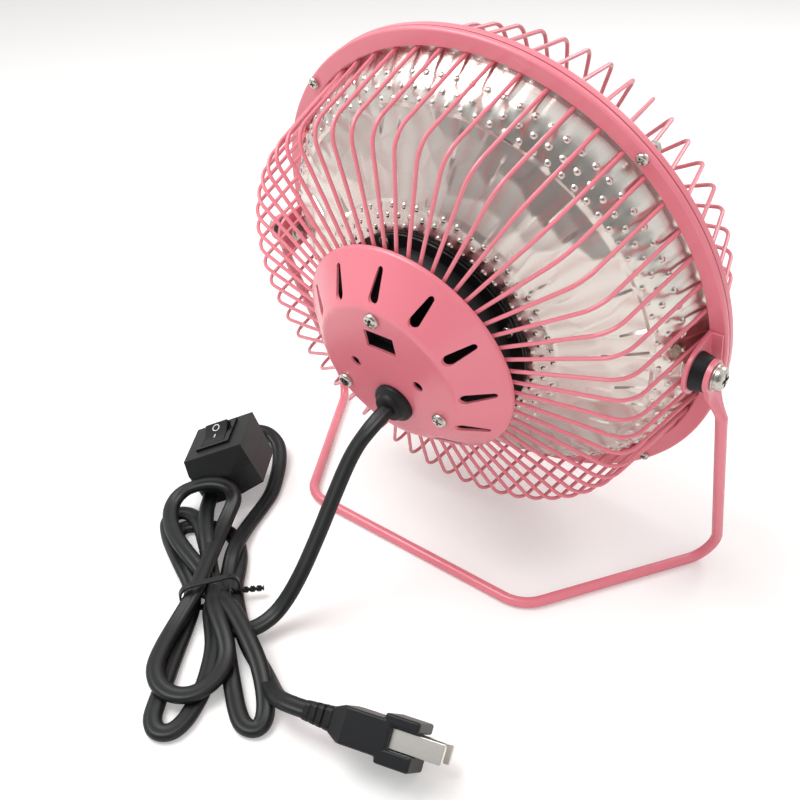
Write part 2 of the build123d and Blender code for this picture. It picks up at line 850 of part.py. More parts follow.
with BuildPart() as switch_upper_shell:
    add(switch_block.part)
    split(bisect_by=SWITCH.offset(switch_split), keep=Keep.TOP)
    with BuildSketch(SWITCH.offset(switch_split)):
        with Locations((0, -1.5)):
            Rectangle(switch_width - 2 * shell_wall, 22)
    extrude(amount=-switch_split - shell_wall, mode=Mode.SUBTRACT)
    with BuildSketch(SWITCH):
        with Locations(rocker_centre):
            Rectangle(*rocker_hole)
    extrude(amount=-shell_wall, mode=Mode.SUBTRACT)

with BuildPart() as switch_lower_shell:
    add(switch_block.part)
    split(bisect_by=SWITCH.offset(switch_split), keep=Keep.BOTTOM)
    with BuildSketch(SWITCH.offset(switch_split)):
        with Locations((0, -3.5)):
            Rectangle(switch_width - 2 * shell_wall, 20)
    extrude(amount=-(switch_height + switch_split - shell_wall), mode=Mode.SUBTRACT)
    with BuildSketch(SWITCH.offset(-switch_height)):
        with Locations(*switch_screw_places):
            Circle(switch_screw_recess)
    extrude(amount=shell_wall, mode=Mode.SUBTRACT)

with BuildPart() as switch_screws:
    with BuildSketch(SWITCH.offset(-switch_height + 0.4)):
        with Locations(*switch_screw_places):
            Circle(switch_screw_recess - 0.1)
    extrude(amount=shell_wall - 0.4)
    with BuildSketch(SWITCH.offset(-switch_height + shell_wall)):
        with Locations(*switch_screw_places):
            Circle(1.1)
    extrude(amount=8)

# Bezel with its housing, and the rocker on two short pins
with BuildPart() as switch_bezel:
    with BuildSketch(SWITCH):
        with Locations(rocker_centre):
            Rectangle(*bezel_size)
            Rectangle(*bezel_window, mode=Mode.SUBTRACT)
    extrude(amount=bezel_rim)
    with BuildSketch(SWITCH):
        with Locations(rocker_centre):
            Rectangle(*bezel_housing)
            Rectangle(*bezel_window, mode=Mode.SUBTRACT)
    extrude(amount=-bezel_depth)
    with BuildSketch(SWITCH.offset(-bezel_depth)):
        with Locations(rocker_centre):
            Rectangle(*bezel_housing)
    extrude(amount=-1.2)
    with BuildSketch(SWITCH_SIDE.offset(rocker_centre[0])):
        with Locations((rocker_centre[1], rocker_hinge_depth)):
            Circle(rocker_pin_radius + rocker_pin_clearance)
    extrude(amount=bezel_housing[0] / 2, both=True, mode=Mode.SUBTRACT)

with BuildPart() as switch_rocker:
    with BuildSketch(SWITCH_SIDE.offset(rocker_centre[0])):
        with Locations(Location((rocker_centre[1], rocker_hinge_depth), rocker_tilt)):
            Polygon((-6.3, 3.9), (0, 2.9), (6.3, 3.9), (6.3, 0.5), (3.0, -4.6), (-3.0, -4.6), (-6.3, 0.5), align=None)
    extrude(amount=5.6, both=True)
    with BuildSketch(SWITCH_SIDE.offset(rocker_centre[0])):
        with Locations((rocker_centre[1], rocker_hinge_depth)):
            Circle(rocker_pin_radius)
    extrude(amount=6.8, both=True)

# Plug lying on its lowest corner: PLUG has x along the blades' width, y across the two blades, z toward their tips
plug_side = Vector(-plug_axis.Y, plug_axis.X, 0)
plug_turn = math.radians(plug_roll)
blade_spacing_way = plug_side * math.cos(plug_turn) + Vector(0, 0, math.sin(plug_turn))
blade_width_way = plug_axis.cross(blade_spacing_way)
PLUG = Plane(origin=plug_start, x_dir=blade_width_way, z_dir=plug_axis)
PLUG_OUTLINE = Plane(origin=plug_start, x_dir=plug_axis, z_dir=-blade_spacing_way)
PLUG_PROFILE = Plane(origin=plug_start, x_dir=plug_axis, z_dir=blade_width_way)

with BuildPart() as plug_body:
    with BuildSketch(PLUG_OUTLINE):
        Polygon(
            (10.5, 4.2),
            (15.5, 6.1),
            (29.7, 6.1),
            (29.7, 8.0),
            (41.8, 8.0),
            (41.8, 4.3),
            (32.7, 4.3),
            (32.7, -2.9),
            (41.8, -2.9),
            (41.8, -8.0),
            (29.7, -8.0),
            (29.7, -6.1),
            (15.5, -6.1),
            (10.5, -4.2),
            align=None,
        )
    extrude(amount=plug_depth / 2, both=True)
    with BuildSketch(PLUG_PROFILE):
        Polygon(
            (10.5, 4.5),
            (17.0, plug_depth / 2),
            (41.8, plug_depth / 2),
            (41.8, -plug_depth / 2),
            (17.0, -plug_depth / 2),
            (10.5, -4.5),
            align=None,
        )
    extrude(amount=12, both=True, mode=Mode.INTERSECT)

with BuildPart() as plug_strain_relief:
    with BuildSketch(PLUG):
        RectangleRounded(6.6, 6.6, 2.0)
    with BuildSketch(PLUG.offset(relief_length)):
        RectangleRounded(8.4, 8.4, 2.0)
    loft()
    for rib in relief_ribs:
        with BuildSketch(PLUG.offset(rib)):
            RectangleRounded(10, 10, 1)
            RectangleRounded(6.4, 6.4, 1, mode=Mode.SUBTRACT)
        extrude(amount=1.0, mode=Mode.SUBTRACT)

with BuildPart() as plug_blades:
    with BuildSketch(PLUG.offset(blade_root)):
        with Locations((blade_offset, blade_spacing / 2), (blade_offset, -blade_spacing / 2)):
            Rectangle(blade_width, blade_sheet)
    extrude(amount=blade_length)
    chamfer(plug_blades.faces().group_by(Axis(plug_start, plug_axis))[-1].edges(), 0.5)

write("rear_ring", rear_ring.part)
write("front_ring", front_ring.part)
write("rear_guard", rear_guard.part)
write("front_guard", front_guard.part)
write("badge_plate", badge_plate.part)
write("ring_screws", ring_screws.part)
write("ring_nuts", ring_nuts.part)
write("reflector_dish", reflector_dish.part)
write("element_can", element_can.part)
write("can_screws", can_screws.part)
write("cover_posts", cover_posts.part)
write("mica_washer", mica_washer.part)
write("ceramic_core", ceramic_core.part)
write("heating_coil", heating_coil.part)
write("thermal_cutout", thermal_cutout.part)
write("terminal_block", terminal_block.part)
write("internal_leads", internal_leads.part)
write("cutout_blank", cutout_blank.part)
write("hub_cover", hub_cover.part)
write("hub_cover_screws", hub_cover_screws.part)
write("cord_gland", cord_gland.part)
write("trunnion_lug_right", trunnion_lug_right.part)
write("trunnion_lug_left", mirror(trunnion_lug_right.part, about=Plane.YZ))
write("pivot_spacers", pivot_spacers.part)
write("pivot_washers", pivot_washers.part)
write("pivot_screws", pivot_screws.part)
write("pivot_nuts", pivot_nuts.part)
write("stand_frame", stand_frame.part)
write("cord_hanging", cord_hanging.part)
write("cord_to_switch", cord_to_switch.part)
write("cord_from_switch", cord_from_switch.part)
write("cord_to_plug", cord_to_plug.part)
write("cord_hank", cord_hank.part)
write("twist_tie", twist_tie.part)
write("switch_upper_shell", switch_upper_shell.part)
write("switch_lower_shell", switch_lower_shell.part)
write("switch_screws", switch_screws.part)
write("switch_bezel", switch_bezel.part)
write("switch_rocker", switch_rocker.part)
write("plug_body", plug_body.part)
write("plug_strain_relief", plug_strain_relief.part)
write("plug_blades", plug_blades.part)
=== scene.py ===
import math
import random

import bpy
from mathutils import Matrix, Vector


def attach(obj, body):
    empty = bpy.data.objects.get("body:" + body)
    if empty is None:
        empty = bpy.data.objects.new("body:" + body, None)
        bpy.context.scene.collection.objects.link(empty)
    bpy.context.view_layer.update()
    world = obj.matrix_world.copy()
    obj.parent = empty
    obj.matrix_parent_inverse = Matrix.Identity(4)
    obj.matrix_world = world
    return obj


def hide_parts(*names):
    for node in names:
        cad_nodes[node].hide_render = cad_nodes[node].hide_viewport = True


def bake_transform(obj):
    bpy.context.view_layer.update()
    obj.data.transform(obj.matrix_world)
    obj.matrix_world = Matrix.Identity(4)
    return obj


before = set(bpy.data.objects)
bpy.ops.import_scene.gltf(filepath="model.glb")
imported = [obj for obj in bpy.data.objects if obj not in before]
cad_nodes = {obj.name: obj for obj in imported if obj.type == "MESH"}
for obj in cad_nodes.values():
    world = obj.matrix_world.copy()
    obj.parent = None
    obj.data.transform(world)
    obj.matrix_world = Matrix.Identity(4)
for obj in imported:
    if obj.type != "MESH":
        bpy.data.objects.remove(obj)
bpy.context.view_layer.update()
bpy.ops.object.select_all(action="DESELECT")

# Camera: a short telephoto on a stand behind the heater, above its right shoulder, looking down at the
# hub cover. It is fitted to the guard's ring, the rod and the cover, on a 36 mm sensor and a square
# frame.
bpy.ops.object.camera_add(
    location=(0.19819, -0.28679, 0.28467),
    rotation=(math.radians(56.332), math.radians(0.895), math.radians(39.082)),
)
camera = bpy.context.object
camera.name = "camera"
camera.data.lens = 44.645
camera.data.clip_start = 0.01
bpy.context.scene.camera = camera


# Studio: a white sweep of paper under the heater and a white surround, so the ground fades out as in a
# catalogue picture. The paper takes the soft shadow, and the surround is what polished metal mirrors.
def colour(code):
    """The linear colour of an sRGB hex code."""
    channels = [int(code[i : i + 2], 16) / 255 for i in (1, 3, 5)]
    return [c / 12.92 if c <= 0.04045 else ((c + 0.055) / 1.055) ** 2.4 for c in channels] + [1.0]


def set_sockets(material, node, inputs):
    """Gives each socket that is named a value, or links the output socket that feeds it."""
    for socket, source in inputs.items():
        if isinstance(source, bpy.types.NodeSocket):
            material.node_tree.links.new(source, node.inputs[socket])
        else:
            node.inputs[socket].default_value = source


def add_node(material, kind, inputs=None, **options):
    """One shader node, with its options and its sockets set."""
    node = material.node_tree.nodes.new(kind)
    for option, value in options.items():
        setattr(node, option, value)
    set_sockets(material, node, inputs or {})
    return node


def new_material(name):
    """A named material, and the shader that holds its finish."""
    material = bpy.data.materials.new(name)
    material.use_nodes = True
    return material, material.node_tree.nodes["Principled BSDF"]


bpy.ops.mesh.primitive_plane_add(size=4.8, location=(-0.6, 1.6, -0.0002))
paper = bpy.context.object
paper.name = "paper_sweep"

# Background paper: matt white stock, which keeps shadows and never shines
paper_stock, paper_finish = new_material("matt_background_paper")
set_sockets(
    paper_stock,
    paper_finish,
    {"Base Color": colour("#F1F0EE"), "Roughness": 0.9, "Specular IOR Level": 0.1},
)
paper_seen = add_node(paper_stock, "ShaderNodeLightPath")
# a glow for the camera alone brings the paper up to the surround's white
paper_glow = add_node(paper_stock, "ShaderNodeEmission", {"Color": colour("#FFFFFF"), "Strength": 0.22})
paper_both = add_node(
    paper_stock,
    "ShaderNodeAddShader",
    {0: paper_finish.outputs[0], 1: paper_glow.outputs[0]},
)
paper_mix = add_node(
    paper_stock,
    "ShaderNodeMixShader",
    {0: paper_seen.outputs["Is Camera Ray"], 1: paper_finish.outputs[0], 2: paper_both.outputs[0]},
)
paper_output = paper_stock.node_tree.nodes["Material Output"]
set_sockets(paper_stock, paper_output, {"Surface": paper_mix.outputs[0]})
paper.data.materials.append(paper_stock)

world = bpy.data.worlds.new("white_surround")
bpy.context.scene.world = world
world.use_nodes = True
# the studio is left unlit behind the camera, so a mirror finish shows white on the left and grey on the
# right
studio_way = add_node(world, "ShaderNodeTexCoord")
unlit_side = add_node(
    world,
    "ShaderNodeVectorMath",
    {0: studio_way.outputs["Generated"], 1: (0.38, -0.89, 0.22)},
    operation="DOT_PRODUCT",
)
mirrored_level = add_node(
    world,
    "ShaderNodeMapRange",
    {
        "Value": unlit_side.outputs["Value"],
        "From Min": 0.45,
        "From Max": 0.92,
        "To Min": 1.0,
        "To Max": 0.3,
    },
    interpolation_type="SMOOTHSTEP",
)
# stands, flags and the room's furniture break that surround into soft lighter and darker patches
room = add_node(
    world,
    "ShaderNodeTexNoise",
    {"Vector": studio_way.outputs["Generated"], "Scale": 9.0, "Detail": 1.0},
)
room_level = add_node(
    world,
    "ShaderNodeMapRange",
    {"Value": room.outputs["Fac"], "From Min": 0.42, "From Max": 0.58, "To Min": 0.6, "To Max": 1.05},
)
mirrored_room = add_node(
    world,
    "ShaderNodeMath",
    {0: mirrored_level.outputs["Result"], 1: room_level.outputs["Result"]},
    operation="MULTIPLY",
)
seen = add_node(world, "ShaderNodeLightPath")
mirrored = add_node(
    world,
    "ShaderNodeMath",
    {0: seen.outputs["Is Glossy Ray"], 1: seen.outputs["Is Transmission Ray"]},
    operation="MAXIMUM",
)
# the surround is dimmer as a light on the object than it looks to the camera
ambient_level = 0.52
unseen_level = add_node(
    world,
    "ShaderNodeMix",
    {"Factor": mirrored.outputs[0], "A": ambient_level, "B": mirrored_room.outputs[0]},
)
strength = add_node(
    world,
    "ShaderNodeMix",
    {"Factor": seen.outputs["Is Camera Ray"], "A": unseen_level.outputs["Result"], "B": 1.0},
)
surround = world.node_tree.nodes["Background"]
set_sockets(world, surround, {"Color": colour("#FFFFFF"), "Strength": strength.outputs["Result"]})

for lamp_name, place, aim, size, watts in (
    ("key_softbox", (-0.35, -0.25, 0.85), (0, 0, 0.08), 0.6, 6.2),
    ("fill_softbox", (0.75, -0.75, 0.6), (0, 0, 0.08), 0.8, 3.0),
    ("rim_softbox", (0.2, 0.8, 0.7), (0, 0, 0.1), 0.5, 3.0),
):
    bpy.ops.object.light_add(type="AREA", location=place)
    lamp = bpy.context.object
    lamp.name = lamp_name
    lamp.data.size = size
    lamp.data.energy = watts
    lamp.rotation_euler = (Vector(aim) - Vector(place)).to_track_quat("-Z", "Y").to_euler()
    # the fill is a bounce off a wall, too broad to be mirrored as a lamp
    lamp.visible_glossy = lamp_name != "fill_softbox"

bpy.context.scene.view_settings.view_transform = "Standard"

# Clamp rings: two flanged hoops pressed from 1 mm steel sheet, which hold the guards and the dish between
# them. They are stove enamelled in salmon pink before four screws pull them together. The head's own
# frame has x to the right seen from behind, y up the head and z rearward from the ring's back. Pieces are
# modelled in it in millimetres, and then set into the heater's frame, leaning back by 14.6 degrees.
from_millimetres = Matrix.Scale(0.001, 4)
lean_sine, lean_cosine = 0.25207, 0.96771
ring_back_y, ring_back_z = 5.472, 109.349
head_frame = from_millimetres @ Matrix(
    (
        (1, 0, 0, 0),
        (0, -lean_sine, -lean_cosine, ring_back_y),
        (0, lean_cosine, -lean_sine, ring_back_z),
        (0, 0, 0, 1),
    )
)


def pick(piece):
    """Makes a piece the only one selected, and the active one."""
    bpy.ops.object.select_all(action="DESELECT")
    piece.select_set(True)
    bpy.context.view_layer.objects.active = piece


def rounded(corners, steps=5):
    """A profile from corners, each (distance from the axis, height, rounding radius)."""
    profile = []
    for index, (x, z, radius) in enumerate(corners):
        here = Vector((x, z))
        if radius == 0:
            profile.append(here)
            continue
        to_last = (Vector(corners[index - 1][:2]) - here).normalized()
        to_next = (Vector(corners[(index + 1) % len(corners)][:2]) - here).normalized()
        half = to_last.angle(to_next) / 2
        middle = here + (to_last + to_next).normalized() * radius / math.sin(half)
        start = here + to_last * radius / math.tan(half) - middle
        end = here + to_next * radius / math.tan(half) - middle
        for step in range(steps + 1):
            profile.append(middle + start.lerp(end, step / steps).normalized() * radius)
    return profile


def draw_profile(name, profile):
    """One vertex extruded from point to point of a profile. It stays in edit mode, selected all over."""
    bpy.ops.mesh.primitive_plane_add(size=1)
    piece = bpy.context.object
    piece.name = name
    bpy.ops.object.mode_set(mode="EDIT")
    bpy.ops.mesh.select_mode(type="VERT")
    bpy.ops.mesh.merge(type="CENTER")
    bpy.ops.transform.translate(value=(profile[0][0], 0, profile[0][1]))
    for (x, z), (next_x, next_z) in zip(profile, profile[1:]):
        bpy.ops.mesh.extrude_region_move(TRANSFORM_OT_translate={"value": (next_x - x, 0, next_z - z)})
    bpy.ops.mesh.select_all(action="SELECT")
    return piece


def turn(name, corners, steps=128):
    """A spun piece in millimetres: a closed profile with rounded corners, spun round Z."""
    profile = rounded(corners)
    piece = draw_profile(name, profile + profile[:1])
    bpy.ops.mesh.remove_doubles(threshold=0.001)
    bpy.ops.mesh.select_all(action="SELECT")
    bpy.ops.mesh.spin(steps=steps, angle=math.tau, center=(0, 0, 0), axis=(0, 0, 1))
    bpy.ops.mesh.select_all(action="SELECT")
    bpy.ops.mesh.remove_doubles(threshold=0.001)
    bpy.ops.mesh.normals_make_consistent(inside=False)
    bpy.ops.object.mode_set(mode="OBJECT")
    return piece


def settle():
    """Works the place, turn and scale of what is selected into its mesh."""
    bpy.ops.object.transform_apply(location=True, rotation=True, scale=True)


def work(piece, name, kind, **settings):
    """Gives the active piece a modifier with its settings, and applies it."""
    modifier = piece.modifiers.new(name, kind)
    for setting, value in settings.items():
        setattr(modifier, setting, value)
    bpy.ops.object.modifier_apply(modifier=modifier.name)


def finish_piece(piece, place, material, body, slot, *nodes):
    """Sets a piece where it belongs, shades it, and says what it is made of, rides on and stands for."""
    pick(piece)
    piece.matrix_world = place
    settle()
    bpy.ops.object.shade_smooth_by_angle(angle=math.radians(35))
    # broad faces keep their own direction, so a flat looks flat up to its rounded edge
    work(piece, "flats", "WEIGHTED_NORMAL", keep_sharp=True)
    piece.data.materials.clear()
    piece.data.materials.append(material)
    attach(piece, body)
    if nodes:
        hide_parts(*nodes)


# Stove enamel: a gloss salmon-pink paint with the faint orange peel, 2 mm across, that it keeps when it
# is baked on
pink_enamel, enamel_finish = new_material("salmon_pink_stove_enamel")
enamel_place = add_node(pink_enamel, "ShaderNodeTexCoord")
enamel_cloud = add_node(
    pink_enamel,
    "ShaderNodeTexNoise",
    {"Vector": enamel_place.outputs["Object"], "Scale": 28.0, "Detail": 3.0},
)
enamel_tone = add_node(
    pink_enamel,
    "ShaderNodeMix",
    {"Factor": enamel_cloud.outputs["Fac"], "A": colour("#E37584"), "B": colour("#E98794")},
    data_type="RGBA",
)
enamel_gloss = add_node(
    pink_enamel,
    "ShaderNodeMapRange",
    {"Value": enamel_cloud.outputs["Fac"], "To Min": 0.2, "To Max": 0.3},
)
enamel_peel = add_node(
    pink_enamel,
    "ShaderNodeTexNoise",
    {"Vector": enamel_place.outputs["Object"], "Scale": 480.0, "Detail": 1.0},
)
enamel_relief = add_node(
    pink_enamel,
    "ShaderNodeBump",
    {"Height": enamel_peel.outputs["Fac"], "Strength": 0.35, "Distance": 0.00012},
)
set_sockets(
    pink_enamel,
    enamel_finish,
    {
        "Base Color": enamel_tone.outputs["Result"],
        "Roughness": enamel_gloss.outputs["Result"],
        "Normal": enamel_relief.outputs["Normal"],
        "IOR": 1.52,
        "Coat Weight": 0.25,
        "Coat Roughness": 0.2,
    },
)

rear_ring = turn(
    "rear_ring_enamelled",
    [
        (93.8, -1.0, 0.2),
        (93.8, 0.0, 0.3),
        (100.0, 0.0, 0.9),
        (100.0, -2.2, 0.2),
        (99.0, -2.2, 0.2),
        (99.0, -1.0, 0.2),
    ],
    168,
)
finish_piece(rear_ring, head_frame, pink_enamel, "head", "pink_paint", "rear_ring")
front_ring = turn(
    "front_ring_enamelled",
    [
        (95.0, -4.6, 0.2),
        (99.0, -4.6, 0.2),
        (99.0, -2.7, 0.2),
        (100.0, -2.7, 0.2),
        (100.0, -5.6, 0.9),
        (95.0, -5.6, 0.3),
    ],
    168,
)
finish_piece(front_ring, head_frame, pink_enamel, "head", "pink_paint", "front_ring")


# Wire guards: 56 steel wires of 1.5 mm to each side, bent on a jig and spot welded to round hoops.
# Each cage is dipped in the same pink enamel, and its outer ends stand between the two rings.
wire_count = 56
wire_radius = 0.75


def repeat_round(count):
    """Copies what is selected in edit mode round Z, until there are count of it at even steps."""
    whole = math.tau * (count - 1) / count
    bpy.ops.mesh.spin(steps=count - 1, dupli=True, angle=whole, center=(0, 0, 0), axis=(0, 0, 1))


def bend_wire(name, start, corner, end, bend_radius, first_angle):
    """One wire from the rim to the hub, bent once, and its fellows round the head's axis."""
    start = Vector((start[0], 0, start[1]))
    corner = Vector((corner[0], 0, corner[1]))
    end = Vector((end[0], 0, end[1]))
    into = (corner - start).normalized()
    out = (end - corner).normalized()
    turn_angle = into.angle(out)
    trim = bend_radius * math.tan(turn_angle / 2)
    # the bend's centre lies on the axis side of the wire
    inward = (out - into * into.dot(out)).normalized()
    centre = corner - into * trim + inward * bend_radius
    bpy.ops.mesh.primitive_circle_add(vertices=10, radius=wire_radius, fill_type="NGON")
    wire = bpy.context.object
    wire.name = name
    wire.matrix_world = Matrix.Translation(start) @ into.to_track_quat("Z", "Y").to_matrix().to_4x4()
    settle()
    bpy.ops.object.mode_set(mode="EDIT")
    bpy.ops.mesh.select_mode(type="FACE")
    bpy.ops.mesh.select_all(action="SELECT")
    run = (corner - into * trim) - start
    bpy.ops.mesh.extrude_region_move(TRANSFORM_OT_translate={"value": run})
    # spin goes the other way round its axis, so the axis is turned over
    bpy.ops.mesh.spin(steps=7, angle=turn_angle, center=centre, axis=out.cross(into))
    run = end - (corner + out * trim)
    bpy.ops.mesh.extrude_region_move(TRANSFORM_OT_translate={"value": run})
    bpy.ops.mesh.select_all(action="SELECT")
    bpy.ops.mesh.normals_make_consistent(inside=False)
    bpy.ops.object.mode_set(mode="OBJECT")
    wire.matrix_world = Matrix.Rotation(math.radians(first_angle), 4, "Z")
    settle()
    bpy.ops.object.mode_set(mode="EDIT")
    bpy.ops.mesh.select_all(action="SELECT")
    repeat_round(wire_count)
    bpy.ops.object.mode_set(mode="OBJECT")
    return wire


def weld_hoops(cage, hoops):
    """Adds round wire hoops, each (radius, height, wire radius), to a cage."""
    for radius, height, thickness in hoops:
        bpy.ops.mesh.primitive_torus_add(
            location=(0, 0, height),
            major_radius=radius,
            minor_radius=thickness,
            major_segments=168,
            minor_segments=10,
        )
        bpy.context.object.select_set(True)
        cage.select_set(True)
        bpy.context.view_layer.objects.active = cage
        bpy.ops.object.join()


rear_guard = bend_wire("rear_guard_wires", (93.0, -2.2), (86.2, 39.4), (43.0, 47.4), 10, 180 / wire_count)
weld_hoops(rear_guard, [(94.05, -1.8, 0.8), (43.0, 47.4, 0.8)])
finish_piece(rear_guard, head_frame, pink_enamel, "head", "pink_paint", "rear_guard")
front_guard = bend_wire("front_guard_wires", (94.4, -3.5), (83.2, -40.5), (26.0, -52.0), 7, 90)
weld_hoops(front_guard, [(95.6, -3.85, 0.75), (52.0, -45.4, 0.8), (26.0, -52.0, 0.8)])
finish_piece(front_guard, head_frame, pink_enamel, "head", "pink_paint", "front_guard")

# Badge plate: a bare disc pressed to a shallow dome from 0.8 mm steel, with its rim rolled back over the
# wires. It is enamelled with the front guard, and tabs hold it to the inner hoop.
badge_plate = turn(
    "badge_plate_pressed",
    [
        (0, -57.1, 0),
        (14.0, -56.2, 30.0),
        (28.0, -53.9, 0.9),
        (28.0, -52.9, 0.3),
        (24.5, -52.9, 0.3),
        (14.0, -55.4, 30.0),
        (0, -56.3, 0),
    ],
    96,
)
finish_piece(badge_plate, head_frame, pink_enamel, "head", "pink_paint", "badge_plate")


# Machine screws: M2.5 pan heads with a cross recess, cold headed from steel wire and nickel plated.
# Four hold the rings together, and three larger ones hold the hub cover.
def soften(piece, width, segments, limit):
    """Rounds the edges of a piece that turn by more than a limit in degrees."""
    limit = math.radians(limit)
    sizes = {"width": width, "segments": segments, "angle_limit": limit}
    work(piece, "soften", "BEVEL", limit_method="ANGLE", **sizes)


def pan_head(name, radius, height, shank_radius, shank_length):
    """A pan-head screw in millimetres, with its domed head above z = 0 and its shank below."""
    middle = (0, 0, height / 2)
    bpy.ops.mesh.primitive_cylinder_add(vertices=32, radius=radius, depth=height, location=middle)
    screw = bpy.context.object
    screw.name = name
    settle()
    bpy.ops.object.mode_set(mode="EDIT")
    bpy.ops.mesh.select_mode(type="FACE")
    bpy.ops.mesh.select_all(action="DESELECT")
    bpy.ops.object.mode_set(mode="OBJECT")
    for face in screw.data.polygons:
        face.select = face.normal.z > 0.9
    bpy.ops.object.mode_set(mode="EDIT")
    bpy.ops.mesh.bevel(offset=height * 0.6, segments=5, affect="EDGES")
    bpy.ops.object.mode_set(mode="OBJECT")
    bpy.ops.mesh.primitive_cylinder_add(
        vertices=20, radius=shank_radius, depth=shank_length, location=(0, 0, 0.1 - shank_length / 2)
    )
    shank = bpy.context.object
    bpy.ops.mesh.primitive_cube_add(size=1, location=(0, 0, height))
    recess = bpy.context.object
    recess.scale = (radius * 1.2, radius * 0.3, height * 0.8)
    settle()
    bpy.ops.object.mode_set(mode="EDIT")
    bpy.ops.mesh.select_all(action="SELECT")
    bpy.ops.mesh.spin(steps=1, dupli=True, angle=math.pi / 2, center=(0, 0, 0), axis=(0, 0, 1))
    bpy.ops.object.mode_set(mode="OBJECT")
    bpy.context.view_layer.objects.active = screw
    for tool, how in ((recess, "DIFFERENCE"), (shank, "UNION")):
        work(screw, "cut", "BOOLEAN", object=tool, operation=how, solver="EXACT", use_self=True)
        bpy.data.objects.remove(tool)
    soften(screw, 0.08, 2, 50)
    return screw


def copy_round(piece, places):
    """Copies a piece to several places, each copy with its own mesh, and joins them to one object."""
    copies = []
    for place in places:
        copy = bpy.data.objects.new(piece.name, piece.data.copy())
        bpy.context.scene.collection.objects.link(copy)
        copy.matrix_world = place
        pick(copy)
        settle()
        copies.append(copy)
    name = piece.name
    bpy.data.objects.remove(piece)
    for copy in copies:
        copy.select_set(True)
    bpy.context.view_layer.objects.active = copies[0]
    bpy.ops.object.join()
    copies[0].name = name + "_set"
    return copies[0]


def round_places(radius, height, angles):
    """Places on a circle round the head's axis, each turned by its own angle."""
    places = []
    for angle in angles:
        around = Matrix.Rotation(math.radians(angle), 4, "Z")
        spun = Matrix.Rotation(math.radians(angle * 1.7), 4, "Z")
        places.append(around @ Matrix.Translation((radius, 0, height)) @ spun)
    return places


# Nickel plate: a bright, slightly warm white metal, with the fine dull marks that a driver and a tumbling
# drum leave
nickel, nickel_finish = new_material("bright_nickel_plate")
nickel_place = add_node(nickel, "ShaderNodeTexCoord")
nickel_marks = add_node(
    nickel,
    "ShaderNodeTexNoise",
    {"Vector": nickel_place.outputs["Object"], "Scale": 900.0, "Detail": 4.0},
)
nickel_gloss = add_node(
    nickel,
    "ShaderNodeMapRange",
    {
        "Value": nickel_marks.outputs["Fac"],
        "From Min": 0.35,
        "From Max": 0.65,
        "To Min": 0.18,
        "To Max": 0.28,
    },
)
nickel_tone = add_node(
    nickel,
    "ShaderNodeMix",
    {"Factor": nickel_marks.outputs["Fac"], "A": colour("#C6C2BA"), "B": colour("#D6D2CA")},
    data_type="RGBA",
)
set_sockets(
    nickel,
    nickel_finish,
    {
        "Base Color": nickel_tone.outputs["Result"],
        "Roughness": nickel_gloss.outputs["Result"],
        "Metallic": 1.0,
    },
)

ring_screws = copy_round(
    pan_head("ring_screw", 2.2, 1.6, 1.2, 8.2),
    round_places(97.65, 0, (45, 135, 225, 315)),
)
finish_piece(ring_screws, head_frame, nickel, "head", "bright_steel", "ring_screws")
cover_flat = 63.0
cover_screw_circle = 25.8
cover_screw_angles = (90, 210, 330)
cover_screws = copy_round(
    pan_head("cover_screw", 3.0, 2.0, 1.5, 12.7),
    round_places(cover_screw_circle, cover_flat, cover_screw_angles),
)
finish_piece(cover_screws, head_frame, nickel, "head", "bright_steel", "hub_cover_screws")


# Steel pieces that show little: ring nuts, can screws, posts, thermal cut-out, pivot washers and nuts.
# They are cold formed or turned, deburred so that their edges are just broken, and nickel plated.
def break_edges(node, width, segments=2):
    """A copy of a CAD solid, with its loose triangles merged and its sharp edges rounded, in metres."""
    piece = bpy.data.objects.new(node + "_finished", cad_nodes[node].data.copy())
    bpy.context.scene.collection.objects.link(piece)
    pick(piece)
    bpy.ops.mesh.customdata_custom_splitnormals_clear()
    bpy.ops.object.mode_set(mode="EDIT")
    bpy.ops.mesh.select_all(action="SELECT")
    bpy.ops.mesh.remove_doubles(threshold=0.000002)
    bpy.ops.mesh.dissolve_limited(angle_limit=math.radians(0.5))
    bpy.ops.object.mode_set(mode="OBJECT")
    soften(piece, width, segments, 40)
    return piece


as_built = Matrix.Identity(4)
for node, width in (
    ("ring_nuts", 0.0002),
    ("can_screws", 0.0003),
    ("cover_posts", 0.0002),
    ("thermal_cutout", 0.0003),
    ("pivot_washers", 0.00015),
    ("pivot_nuts", 0.0003),
):
    finish_piece(break_edges(node, width), as_built, nickel, "head", "bright_steel", node)

# Reflector: a deep bowl spun from 0.5 mm aluminium sheet, with rows of bosses pressed outward near rim
# and seat. Between the rows it is planished with a hammer, and small pleats take up the spare metal at
# the rim.
dish_profile = [
    (18.0, 34.5),
    (24.0, 34.5),
    (31.0, 34.5),
    (37.0, 34.5),
    (41.6, 34.4),
    (55.0, 29.2),
    (69.9, 22.2),
    (79.0, 16.2),
    (84.5, 12.1),
    (88.8, 6.3),
    (91.2, 0.2),
    (91.6, -2.0),
    (92.6, -2.6),
    (95.9, -2.6),
]
# a fine row of points along the profile, closest together where the hammer has been
dish_line = []
for (x, z), (next_x, next_z) in zip(dish_profile, dish_profile[1:]):
    run = math.hypot(next_x - x, next_z - z)
    hammered = 50 < (x + next_x) / 2 < 80
    pitch = 0.9 if hammered else 1.15
    pitch = 3.0 if x < 40 else pitch
    count = max(1, round(run / pitch))
    dish_line += [(x + (next_x - x) * k / count, z + (next_z - z) * k / count) for k in range(count)]
dish_line.append(dish_profile[-1])
dish = draw_profile("reflector_dish_planished", dish_line)
# smooth the corners between the profile's straight runs
bpy.ops.mesh.vertices_smooth(factor=0.5, repeat=6)
